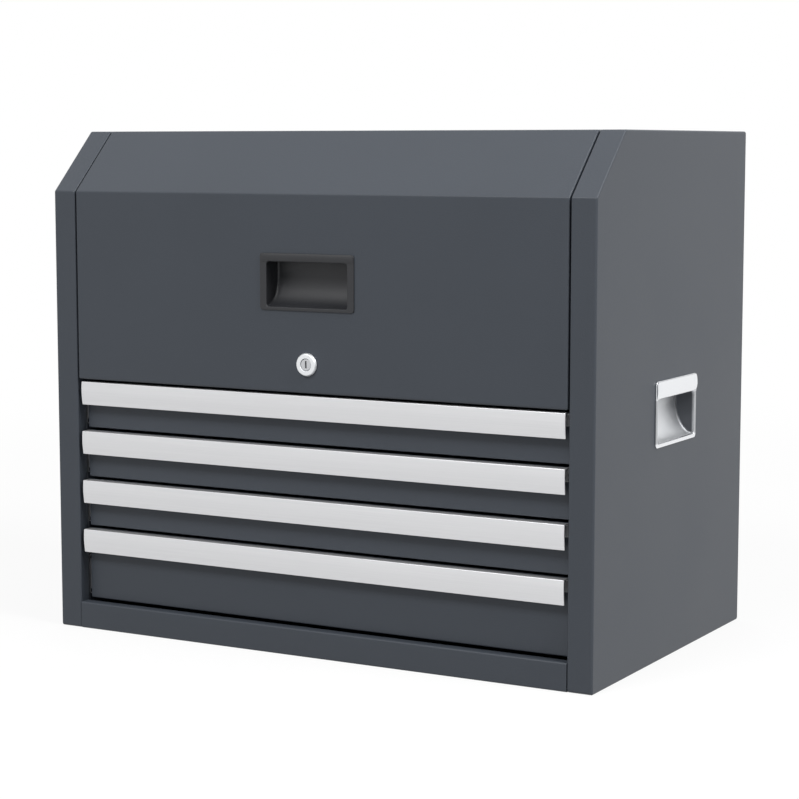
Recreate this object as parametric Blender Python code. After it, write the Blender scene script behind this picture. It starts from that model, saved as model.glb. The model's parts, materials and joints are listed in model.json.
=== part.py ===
"""A steel tool chest: a sloped, lift-up lid over a deep till, and four drawers on ball slides.

Run it with blender --background --python part.py, or from Blender's text editor.
Units are metres. X runs left to right seen from the front, Y from front to back and Z up.
The origin is on the floor, under the middle of the case.
Each folded sheet, moulding, slide member, hinge leaf and lock piece is an object of its own.
"""
import math

import bmesh
import bpy
from mathutils import Vector

# Overall form of the case
CASE_WIDTH = 0.660
CASE_DEPTH = 0.406
LID_FRONT_HEIGHT = 0.2085
SLOPE_DEPTH = 0.068
SLOPE_HEIGHT = 0.066

# Sheet metal
SHEET = 0.001
BEND_RADIUS = 0.002
FRAME_WIDTH = 0.028
FRAME_RETURN = 0.014
PAN_RETURN = 0.010
HEM = 0.012
FIT_GAP = 0.0003
OVERRUN = 0.006

# Lid
LID_SEAM = 0.0016
KNUCKLE_RADIUS = 0.003
HINGE_PIN_RADIUS = 0.00145
HINGE_LEAF = 0.001
HINGE_LEAF_WIDTH = 0.020
HINGE_END_MARGIN = 0.0024
KNUCKLE_GAP = 0.0005
BACK_PANEL_DROP = 0.001

# Rails and floor
BOTTOM_RAIL_HEIGHT = 0.030
TOP_RAIL_HEIGHT = 0.016
TOP_RAIL_LIFT = 0.0005
TOP_RAIL_DEPTH = 0.028
FLOOR_LAP = 0.015
BASE_FOLD = 0.012
UPRIGHT_SHEET = 0.0012
UPRIGHT_WIDTH = 0.030
UPRIGHT_SETBACK = 0.0017
REAR_UPRIGHT_INSET = 0.008

# Drawers
SMALL_FRONT_HEIGHT = 0.05275
DEEP_FRONT_HEIGHT = 0.08025
SMALL_DRAWER_COUNT = 3
DRAWER_GAP = 0.003
DRAWER_SIDE_GAP = 0.0045
TRAY_SHEET = 0.001
TRAY_FLOOR_RISE = 0.002
TRAY_SIDE_DROP = 0.005
TRAY_REAR_CLEARANCE = 0.033

# Aluminium pull along the top of each drawer front
PULL_HEIGHT = 0.026
PULL_STANDOFF = 0.013
PULL_WALL = 0.0016
PULL_LEG = 0.0031
PULL_CROWN = 0.001
PULL_BACK_LEG = 0.014

# Three-member ball slides
SLIDE_REAR_CLEARANCE = 0.040
SLIDE_THICKNESS = 0.0127
SLIDE_SHEET = 0.0012
SLIDE_MARGIN = 0.00775
SLIDE_LIP = 0.0035
BALL_TRACK = 0.0032
BALL_WIDTH = 0.0036
OUTER_SHORTFALL = 0.0032
MIDDLE_SHORTFALL = 0.0015
MIDDLE_SETBACK = 0.0016
INNER_SETBACK = 0.0045
OUTER_BALL_SETBACK = 0.004
INNER_BALL_SETBACK = 0.006

# Black pull cup in the lid
LID_PULL_WIDTH = 0.115
LID_PULL_HEIGHT = 0.060
LID_PULL_RISE = 0.1165
LID_PULL_DEPTH = 0.022
LID_PULL_BAND = 0.009
LID_PULL_SIDE_RIM = 0.008
LID_PULL_EDGE_RIM = 0.0035
LID_PULL_CROWN = 0.0012
LID_PULL_WALL = 0.002
LID_PULL_CORNER = 0.003

# Bright recessed handles in the sides
HANDLE_WIDTH = 0.110
HANDLE_HEIGHT = 0.070
HANDLE_SETBACK = 0.004
HANDLE_BELOW_FLOOR = 0.004
HANDLE_BACK_CLEARANCE = 0.0055
HANDLE_BAND = 0.019
HANDLE_RIM = 0.004
HANDLE_CROWN = 0.0035
HANDLE_WALL = 0.0015
HANDLE_CORNER = 0.004

CUP_FLANGE = 0.0012
BAND_WALL = 0.002
scoop_share = 0.62

# Lock
LOCK_RISE = 0.0305
BEZEL_RADIUS = 0.0123
BEZEL_HEIGHT = 0.0035
BEZEL_EDGE = 0.001
LOCK_BODY_RADIUS = 0.0092
LOCK_BORE_RADIUS = 0.0065
PLUG_RECESS = 0.0008
PLUG_TAIL_RADIUS = 0.0025
PLUG_STEP = 0.002
KEY_SLOT_WIDTH = 0.0014
KEY_SLOT_HEIGHT = 0.0078
KEY_SLOT_DEPTH = 0.007
NUT_FLATS = 0.024
NUT_HEIGHT = 0.003
CAM_THICKNESS = 0.002
CAM_WIDTH = 0.012
CAM_REACH = 0.024
CAM_CLEARANCE = 0.0005
CAM_SLOT_MARGIN = 0.003

# Gas struts that hold the lid up
STRUT_INSET = 0.012
STRUT_FOOT_FORWARD = 0.0337
STRUT_FOOT_RISE = 0.0697
STRUT_HEAD_FORWARD = 0.073
STRUT_HEAD_DROP = 0.0183
STRUT_TUBE_RADIUS = 0.0075
STRUT_TUBE_WALL = 0.0012
STRUT_ROD_RADIUS = 0.003
STRUT_HEAD_LENGTH = 0.040
STRUT_EYE_RADIUS = 0.006
STRUT_EYE_THICKNESS = 0.005
STRUT_STUD_RADIUS = 0.003
STRUT_CAP = 0.006
STRUT_GUIDE = 0.004
STRUT_PISTON = 0.008
STRUT_BUFFER = 0.004
BRACKET_HALF = 0.018
BRACKET_SHEET = 0.0015
BRACKET_CLEARANCE = 0.0015
EAR_MARGIN = 0.003

# Facets on round pieces and number of knuckles
ROUND_STEPS = 24
SMALL_ROUND_STEPS = 16
ARC_STEPS = 6
KNUCKLE_COUNT = 9

# Places that follow from the sizes above
half_width = CASE_WIDTH / 2
front_y = -CASE_DEPTH / 2
back_y = CASE_DEPTH / 2
opening_half = half_width - FRAME_WIDTH
nested_half = opening_half - FIT_GAP
wall_inside = half_width - SHEET - FIT_GAP
slope_top_y = front_y + SLOPE_DEPTH
deck_z = BOTTOM_RAIL_HEIGHT + DRAWER_GAP
shallow_stack = SMALL_DRAWER_COUNT * (SMALL_FRONT_HEIGHT + DRAWER_GAP)
lid_bottom = deck_z + DEEP_FRONT_HEIGHT + shallow_stack + DRAWER_GAP
slope_base_z = lid_bottom + LID_FRONT_HEIGHT
case_height = slope_base_z + SLOPE_HEIGHT
hinge_y = back_y - SHEET - FIT_GAP - KNUCKLE_RADIUS
hinge_z = case_height - SHEET - FIT_GAP - KNUCKLE_RADIUS
rail_y = front_y + FRAME_RETURN + FIT_GAP
rail_top = lid_bottom + TOP_RAIL_LIFT + TOP_RAIL_HEIGHT
floor_z = rail_top + FIT_GAP
slide_start = front_y + FRAME_RETURN + UPRIGHT_SETBACK + FIT_GAP
slide_end = back_y - SLIDE_REAR_CLEARANCE
tray_half = opening_half - SLIDE_THICKNESS - FIT_GAP
front_half = opening_half - DRAWER_SIDE_GAP
face_y = front_y + PULL_STANDOFF


def material(name, colour, metallic, roughness):
    """Make a plain Principled material."""
    made = bpy.data.materials.new(name)
    made.use_nodes = True
    shader = made.node_tree.nodes["Principled BSDF"]
    shader.inputs["Base Color"].default_value = (*colour, 1.0)
    shader.inputs["Metallic"].default_value = metallic
    shader.inputs["Roughness"].default_value = roughness
    return made


def mesh_object(name, points, faces, finish=None):
    """Make an object from points and faces, with every face turned outwards."""
    mesh = bpy.data.meshes.new(name)
    mesh.from_pydata([tuple(point) for point in points], [], faces)
    shape = bmesh.new()
    shape.from_mesh(mesh)
    bmesh.ops.recalc_face_normals(shape, faces=shape.faces)
    shape.to_mesh(mesh)
    shape.free()
    made = bpy.data.objects.new(name, mesh)
    bpy.context.scene.collection.objects.link(made)
    if finish is not None:
        mesh.materials.append(finish)
    return made


def on_axis(axis, along, pair):
    """Place a flat point (a, b) at a distance along one axis; a and b keep the order X, Y, Z."""
    first, second = pair
    if axis == "X":
        return Vector((along, first, second))
    if axis == "Y":
        return Vector((first, along, second))
    return Vector((first, second, along))


def prism(name, outline, axis, low, high, finish=None):
    """Extrude a flat outline along an axis, with both ends closed."""
    count = len(outline)
    points = [on_axis(axis, low, pair) for pair in outline]
    points += [on_axis(axis, high, pair) for pair in outline]
    faces = [tuple(range(count)), tuple(reversed(range(count, 2 * count)))]
    for index in range(count):
        after = (index + 1) % count
        faces.append((index, after, after + count, index + count))
    return mesh_object(name, points, faces, finish)


def block(name, low, high, finish=None):
    """Make a box between two corners."""
    outline = [(low[0], low[1]), (high[0], low[1]), (high[0], high[1]), (low[0], high[1])]
    return prism(name, outline, "Z", low[2], high[2], finish)


def ring(centre, radius, steps):
    """Give the corners of a round outline."""
    turn = 2 * math.pi / steps
    return [
        (centre[0] + radius * math.cos(turn * step), centre[1] + radius * math.sin(turn * step))
        for step in range(steps)
    ]


def arc(centre, radii, start, end, steps):
    """Give points along an elliptical arc, in degrees from the first axis."""
    turns = [math.radians(start + (end - start) * step / steps) for step in range(steps + 1)]
    return [
        (centre[0] + radii[0] * math.cos(turn), centre[1] + radii[1] * math.sin(turn))
        for turn in turns
    ]


def rounded_rectangle(half_a, half_b, radius):
    """Give a rectangle's outline with round corners."""
    outline = []
    corners = [(1, 1, 0), (-1, 1, 90), (-1, -1, 180), (1, -1, 270)]
    for sign_a, sign_b, start in corners:
        middle = (sign_a * (half_a - radius), sign_b * (half_b - radius))
        outline += arc(middle, (radius, radius), start, start + 90, ARC_STEPS // 2)
    return outline


def mitres(path, closed):
    """Give each corner's step to its left for a unit of offset, so that parallel paths stay parallel."""
    count = len(path)
    steps = []
    for index in range(count):
        normals = []
        for start, end in ((index - 1, index), (index, index + 1)):
            if not closed and (start < 0 or end >= count):
                continue
            first = Vector(path[start % count])
            run = (Vector(path[end % count]) - first).normalized()
            normals.append(Vector((-run.y, run.x)))
        if len(normals) == 1:
            steps.append(normals[0])
        else:
            steps.append((normals[0] + normals[1]) / (1 + normals[0].dot(normals[1])))
    return steps


def strip(path, thickness):
    """Give the outline of a folded strip whose metal lies to the left of its path."""
    inner = [Vector(point) + step * thickness for point, step in zip(path, mitres(path, False))]
    return [tuple(point) for point in path] + [tuple(point) for point in reversed(inner)]


def swept(name, path, section, closed_path, finish):
    """Carry a section of (x, inset) points along a path in Y and Z.

    An open path carries a closed section and is capped at its ends. A closed path carries an
    open section whose first and last points run round two flat caps.
    """
    points = []
    for corner, step in zip(path, mitres(path, closed_path)):
        for x, inset in section:
            place = Vector(corner) + step * inset
            points.append(Vector((x, place.x, place.y)))
    rows = len(path)
    width = len(section)
    faces = []
    for row in range(rows if closed_path else rows - 1):
        after = (row + 1) % rows
        for column in range(width - 1 if closed_path else width):
            beside = (column + 1) % width
            near = (row * width + column, row * width + beside)
            far = (after * width + beside, after * width + column)
            faces.append(near + far)
    if closed_path:
        faces.append(tuple(row * width for row in range(rows)))
        faces.append(tuple(row * width + width - 1 for row in reversed(range(rows))))
    else:
        faces.append(tuple(range(width)))
        faces.append(tuple((rows - 1) * width + column for column in reversed(range(width))))
    return mesh_object(name, points, faces, finish)


def turned(name, profile, axis, centre, steps, finish=None):
    """Turn a profile of (along, radius) points about an axis; its first and last points are closed flat."""
    points = []
    for along, radius in profile:
        points += [on_axis(axis, along, pair) for pair in ring(centre, radius, steps)]
    faces = [tuple(range(steps)), tuple(reversed(range((len(profile) - 1) * steps, len(profile) * steps)))]
    for row in range(len(profile) - 1):
        for step in range(steps):
            after = (step + 1) % steps
            near = (row * steps + step, row * steps + after)
            far = ((row + 1) * steps + after, (row + 1) * steps + step)
            faces.append(near + far)
    return mesh_object(name, points, faces, finish)


def sleeve(name, outline, axis, low, high, centre, radius, steps, finish):
    """Extrude an outline with a round hole along its axis."""
    made = prism(name, outline, axis, low, high, finish)
    hole = prism(name + "_hole", ring(centre, radius, steps), axis, low - OVERRUN, high + OVERRUN)
    boolean(made, hole, "DIFFERENCE")
    return made


def open_box(name, low, high, wall, finish):
    """Make a folded box with an open top."""
    made = block(name, low, high, finish)
    inner_low = [low[0] + wall, low[1] + wall, low[2] + wall]
    inner_high = [high[0] - wall, high[1] - wall, high[2]]
    points = [vertex.co.copy() for vertex in made.data.vertices]
    outline = [(0, 0), (1, 0), (1, 1), (0, 1)]
    pick = (inner_low, inner_high)
    for level in (0, 1):
        points += [Vector((pick[a][0], pick[b][1], pick[level][2])) for a, b in outline]
    faces = [(3, 2, 1, 0), (8, 9, 10, 11)]
    for index in range(4):
        after = (index + 1) % 4
        faces.append((index, after, after + 4, index + 4))
        faces.append((index + 4, after + 4, after + 12, index + 12))
        faces.append((index + 12, after + 12, after + 8, index + 8))
    old = made.data
    bpy.data.objects.remove(made)
    bpy.data.meshes.remove(old)
    return mesh_object(name, points, faces, finish)


def boolean(target, tool, operation):
    """Cut a tool from a target, or join it, with a live modifier, and leave the tool as a guide."""
    step = target.modifiers.new(tool.name, "BOOLEAN")
    step.operation = operation
    step.solver = "EXACT"
    step.object = tool
    tool.hide_render = True
    tool.display_type = "WIRE"


def pan_section(half, depth, sheet):
    """Give the section of a sheet whose two sides fold in by depth, as (x, inset) points."""
    right = arc((half - BEND_RADIUS, BEND_RADIUS), (BEND_RADIUS, BEND_RADIUS), -90, 0, ARC_STEPS // 2)
    left = [(-x, inset) for x, inset in reversed(right)]
    outside = [(-half, depth)] + left + right + [(half, depth)]
    inside = [(half - sheet, depth), (half - sheet, sheet), (sheet - half, sheet), (sheet - half, depth)]
    return outside + inside


def joint_empty(name, place):
    """Mark a joint axis with an empty, which carries the pieces that move on it."""
    empty = bpy.data.objects.new(name, None)
    empty.empty_display_size = HEM
    empty.location = place
    bpy.context.scene.collection.objects.link(empty)
    return empty


def carry(parent, pieces):
    """Parent pieces modelled in place, so that they keep their place in the world."""
    for piece in pieces:
        piece.parent = parent
        piece.matrix_parent_inverse = parent.matrix_basis.inverted()


def side_wall(side, sign, finish):
    """Fold one sheet into a side with a flange and a return all round its edge."""
    path = [
        (front_y, 0),
        (back_y, 0),
        (back_y, case_height),
        (slope_top_y, case_height),
        (front_y, slope_base_z),
    ]
    radii = (BEND_RADIUS, BEND_RADIUS)
    bend = arc((half_width - BEND_RADIUS, BEND_RADIUS), radii, 0, -90, ARC_STEPS // 2)
    edge = arc((opening_half + BEND_RADIUS, BEND_RADIUS), radii, -90, -180, ARC_STEPS // 2)
    section = bend + edge + [
        (opening_half, FRAME_RETURN),
        (opening_half + SHEET, FRAME_RETURN),
        (opening_half + SHEET, BEND_RADIUS),
        (opening_half + BEND_RADIUS, SHEET),
        (half_width - BEND_RADIUS, SHEET),
        (half_width - SHEET, BEND_RADIUS),
    ]
    return swept("side_wall_" + side, path, [(sign * x, inset) for x, inset in section], True, finish)


def cup_sizes(width, height, side_rim, edge_rim, wall):
    """Give the half sizes of a cup's body behind its flange."""
    return width / 2 - side_rim + wall, height / 2 - edge_rim + wall


def cup(name, width, height, depth, band, side_rim, edge_rim, crown, wall, corner, finish):
    """Mould a finger cup that faces -Y from the plane y = 0.

    It has a thin flange, a crowned band along the top to pull on, a hollow that runs up behind
    the band, and a floor that curves up from the lower lip to the back.
    """
    half_wide, half_high = cup_sizes(width, height, side_rim, edge_rim, wall)
    flange_front = -FIT_GAP - CUP_FLANGE
    flange_middle = -FIT_GAP - CUP_FLANGE / 2
    band_bottom = height / 2 - band
    made = prism(name, rounded_rectangle(width / 2, height / 2, corner), "Y", flange_front, -FIT_GAP, finish)
    body = block(
        name + "_body",
        (-half_wide, flange_middle, -half_high),
        (half_wide, depth + wall, half_high),
    )
    boolean(made, body, "UNION")
    crown_outline = arc((flange_front, height / 2 - band / 2), (crown, band / 2), 90, 270, ARC_STEPS)
    crown_outline += [(flange_middle, band_bottom), (flange_middle, height / 2)]
    crowned = prism(name + "_band", crown_outline, "X", -width / 2 + corner, width / 2 - corner)
    boolean(made, crowned, "UNION")
    low = edge_rim - height / 2
    high = height / 2 - edge_rim
    front = flange_front - crown - OVERRUN
    scoop = scoop_share * (high - low)
    hollow = [(front, low)]
    hollow += arc((0, low + scoop), (depth, scoop), -90, 0, ARC_STEPS)
    hollow += [(depth, high), (BAND_WALL, high), (BAND_WALL, band_bottom), (front, band_bottom)]
    opening = width / 2 - side_rim
    cavity = prism(name + "_hollow", hollow, "X", -opening, opening)
    boolean(made, cavity, "DIFFERENCE")
    for tool in (body, crowned, cavity):
        tool.parent = made
    return made


def piano_hinge(finish, pin_finish):
    """Make two leaves with alternate knuckles and the pin that joins them."""
    half = opening_half - LID_SEAM / 2 - SHEET - HINGE_END_MARGIN
    centre = (hinge_y, hinge_z)
    spread = 2 * half / KNUCKLE_COUNT
    clear = KNUCKLE_RADIUS + FIT_GAP
    near = KNUCKLE_RADIUS - HINGE_LEAF
    leaves = []
    plates = {
        "hinge_leaf_case": ((near, -HINGE_LEAF_WIDTH), (KNUCKLE_RADIUS, -clear), 0),
        "hinge_leaf_lid": ((-HINGE_LEAF_WIDTH, near), (-clear, KNUCKLE_RADIUS), 1),
    }
    bridges = {
        "hinge_leaf_case": ((near, -clear - HINGE_LEAF), (KNUCKLE_RADIUS, 0)),
        "hinge_leaf_lid": ((-clear - HINGE_LEAF, near), (0, KNUCKLE_RADIUS)),
    }
    for name, (low, high, parity) in plates.items():
        leaf = block(
            name,
            (-half, hinge_y + low[0], hinge_z + low[1]),
            (half, hinge_y + high[0], hinge_z + high[1]),
            finish,
        )
        for index in range(KNUCKLE_COUNT):
            if index % 2 != parity:
                continue
            start = -half + index * spread + KNUCKLE_GAP / 2
            end = start + spread - KNUCKLE_GAP
            outline = ring(centre, KNUCKLE_RADIUS, SMALL_ROUND_STEPS)
            barrel = prism(name + "_knuckle_" + str(index), outline, "X", start, end)
            bridge_low, bridge_high = bridges[name]
            bridge = block(
                name + "_bridge_" + str(index),
                (start, hinge_y + bridge_low[0], hinge_z + bridge_low[1]),
                (end, hinge_y + bridge_high[0], hinge_z + bridge_high[1]),
            )
            boolean(leaf, bridge, "UNION")
            boolean(leaf, barrel, "UNION")
        bore = prism(
            name + "_bore",
            ring(centre, HINGE_PIN_RADIUS + FIT_GAP, SMALL_ROUND_STEPS),
            "X",
            -half - OVERRUN,
            half + OVERRUN,
        )
        boolean(leaf, bore, "DIFFERENCE")
        leaves.append(leaf)
    pin = prism("hinge_pin", ring(centre, HINGE_PIN_RADIUS, SMALL_ROUND_STEPS), "X", -half, half, pin_finish)
    return leaves[0], leaves[1], pin


def slide_sections(half_height):
    """Give the outlines of the outer, middle and inner slide members as (inward, height) points."""
    thick = SLIDE_SHEET
    outer_reach = SLIDE_THICKNESS - OUTER_SHORTFALL
    outer_top = [
        (0, half_height),
        (outer_reach, half_height),
        (outer_reach, half_height - SLIDE_LIP),
        (outer_reach - thick, half_height - SLIDE_LIP),
        (outer_reach - thick, half_height - thick),
        (thick, half_height - thick),
    ]
    middle_half = half_height - thick - FIT_GAP - BALL_TRACK
    middle_reach = SLIDE_THICKNESS - MIDDLE_SHORTFALL
    middle_top = [
        (MIDDLE_SETBACK, middle_half),
        (OUTER_BALL_SETBACK, middle_half),
        (OUTER_BALL_SETBACK, middle_half + BALL_TRACK),
        (OUTER_BALL_SETBACK + BALL_WIDTH, middle_half + BALL_TRACK),
        (OUTER_BALL_SETBACK + BALL_WIDTH, middle_half),
        (middle_reach, middle_half),
        (middle_reach, middle_half - SLIDE_LIP),
        (middle_reach - thick, middle_half - SLIDE_LIP),
        (middle_reach - thick, middle_half - thick),
        (MIDDLE_SETBACK + thick, middle_half - thick),
    ]
    inner_half = middle_half - thick - FIT_GAP - BALL_TRACK
    inner_top = [
        (SLIDE_THICKNESS, inner_half),
        (INNER_BALL_SETBACK + BALL_WIDTH, inner_half),
        (INNER_BALL_SETBACK + BALL_WIDTH, inner_half + BALL_TRACK),
        (INNER_BALL_SETBACK, inner_half + BALL_TRACK),
        (INNER_BALL_SETBACK, inner_half),
        (INNER_SETBACK, inner_half),
        (INNER_SETBACK, inner_half - thick),
        (SLIDE_THICKNESS - thick, inner_half - thick),
    ]
    members = {}
    for name, top in (("outer", outer_top), ("middle", middle_top), ("inner", inner_top)):
        members[name] = top + [(inward, -height) for inward, height in reversed(top)]
    return members


def drawer_slides(number, centre_z, finish):
    """Make both slides of a drawer and return the members by name."""
    half_height = (SMALL_FRONT_HEIGHT - SLIDE_MARGIN) / 2
    made = {"outer": [], "middle": [], "inner": []}
    for side, sign in (("left", -1), ("right", 1)):
        for member, outline in slide_sections(half_height).items():
            placed = [(sign * (opening_half - inward), centre_z + height) for inward, height in outline]
            name = "drawer_" + str(number) + "_slide_" + member + "_" + side
            made[member].append(prism(name, placed, "Y", slide_start, slide_end, finish))
    return made


def drawer(number, low, height, body_finish, pull_finish, slide_finish):
    """Make a drawer's tray, its aluminium pull and its slides, on an empty that slides along -Y."""
    tag = "drawer_" + str(number)
    top = low + height
    face_back = face_y + TRAY_SHEET
    tray = block(tag + "_tray", (-front_half, face_y, low), (front_half, face_back, top), body_finish)
    box = open_box(
        tag + "_tray_box",
        (-tray_half, face_y + TRAY_SHEET / 2, low + TRAY_FLOOR_RISE),
        (tray_half, back_y - TRAY_REAR_CLEARANCE, top - TRAY_SIDE_DROP),
        TRAY_SHEET,
        None,
    )
    boolean(tray, box, "UNION")
    box.parent = tray

    edge = front_y + PULL_CROWN
    leg_back = front_y + PULL_LEG
    back = face_y - FIT_GAP
    crown = arc((edge, top - PULL_HEIGHT / 2), (PULL_CROWN, PULL_HEIGHT / 2), 120, 240, ARC_STEPS)
    outline = [(edge, top)] + crown
    outline += [
        (edge, top - PULL_HEIGHT),
        (leg_back, top - PULL_HEIGHT),
        (leg_back, top - PULL_WALL),
        (back - PULL_WALL, top - PULL_WALL),
        (back - PULL_WALL, top - PULL_BACK_LEG),
        (back, top - PULL_BACK_LEG),
        (back, top),
    ]
    pull = prism(tag + "_pull", outline, "X", -front_half, front_half, pull_finish)

    slides = drawer_slides(number, low + SMALL_FRONT_HEIGHT / 2, slide_finish)
    carry(joint_empty(tag + "_travel", (0, face_y, low)), [tray, pull] + slides["inner"])
    carry(joint_empty(tag + "_middle_travel", (0, slide_start, low)), slides["middle"])


def round_hole(target, name, axis, centre, radius, low, high):
    """Cut one round hole."""
    boolean(target, prism(name, ring(centre, radius, ROUND_STEPS), axis, low, high), "DIFFERENCE")


def lock(lid_empty, bright, steel):
    """Make the lock's housing, nut, plug and cam, with the cam level, so that the lid is free."""
    centre = (0, lid_bottom + LOCK_RISE)
    cam_front = rail_y + SHEET + CAM_CLEARANCE
    housing_end = cam_front - FIT_GAP
    bezel_front = front_y - FIT_GAP - BEZEL_HEIGHT
    housing = turned(
        "lock_housing",
        [
            (bezel_front, BEZEL_RADIUS - BEZEL_EDGE),
            (bezel_front + BEZEL_EDGE, BEZEL_RADIUS),
            (front_y - FIT_GAP, BEZEL_RADIUS),
            (front_y - FIT_GAP, LOCK_BODY_RADIUS),
            (housing_end, LOCK_BODY_RADIUS),
        ],
        "Y", centre, ROUND_STEPS, bright,
    )
    bore_start = bezel_front - OVERRUN
    round_hole(housing, "lock_bore", "Y", centre, LOCK_BORE_RADIUS, bore_start, housing_end + OVERRUN)

    nut_front = front_y + SHEET + FIT_GAP
    flats = ring(centre, NUT_FLATS / 2 / math.cos(math.pi / 6), 6)
    nut = sleeve(
        "lock_nut", flats, "Y", nut_front, nut_front + NUT_HEIGHT,
        centre, LOCK_BODY_RADIUS + FIT_GAP, ROUND_STEPS, steel,
    )

    plug_radius = LOCK_BORE_RADIUS - FIT_GAP
    plug_front = bezel_front + PLUG_RECESS
    plug = turned(
        "lock_plug",
        [
            (plug_front, plug_radius),
            (housing_end - PLUG_STEP, plug_radius),
            (housing_end - PLUG_STEP, PLUG_TAIL_RADIUS),
            (cam_front + CAM_THICKNESS + FIT_GAP, PLUG_TAIL_RADIUS),
        ],
        "Y", centre, ROUND_STEPS, bright,
    )
    slot = block(
        "lock_key_slot",
        (-KEY_SLOT_WIDTH / 2, plug_front - OVERRUN, centre[1] - KEY_SLOT_HEIGHT / 2),
        (KEY_SLOT_WIDTH / 2, plug_front + KEY_SLOT_DEPTH, centre[1] + KEY_SLOT_HEIGHT / 2),
    )
    boolean(plug, slot, "DIFFERENCE")

    half_cam = CAM_WIDTH / 2
    outline = arc(centre, (half_cam, half_cam), 90, 270, ARC_STEPS)
    outline += [(CAM_REACH, centre[1] - half_cam), (CAM_REACH, centre[1] + half_cam)]
    cam = sleeve(
        "lock_cam", outline, "Y", cam_front, cam_front + CAM_THICKNESS,
        centre, PLUG_TAIL_RADIUS + FIT_GAP, ROUND_STEPS, steel,
    )
    carry(lid_empty, [housing, nut])
    turn = joint_empty("lock_turn", (0, front_y, centre[1]))
    carry(lid_empty, [turn])
    for piece in (plug, cam):
        piece.location = Vector((0, -front_y, -centre[1]))
        piece.parent = turn


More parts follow.
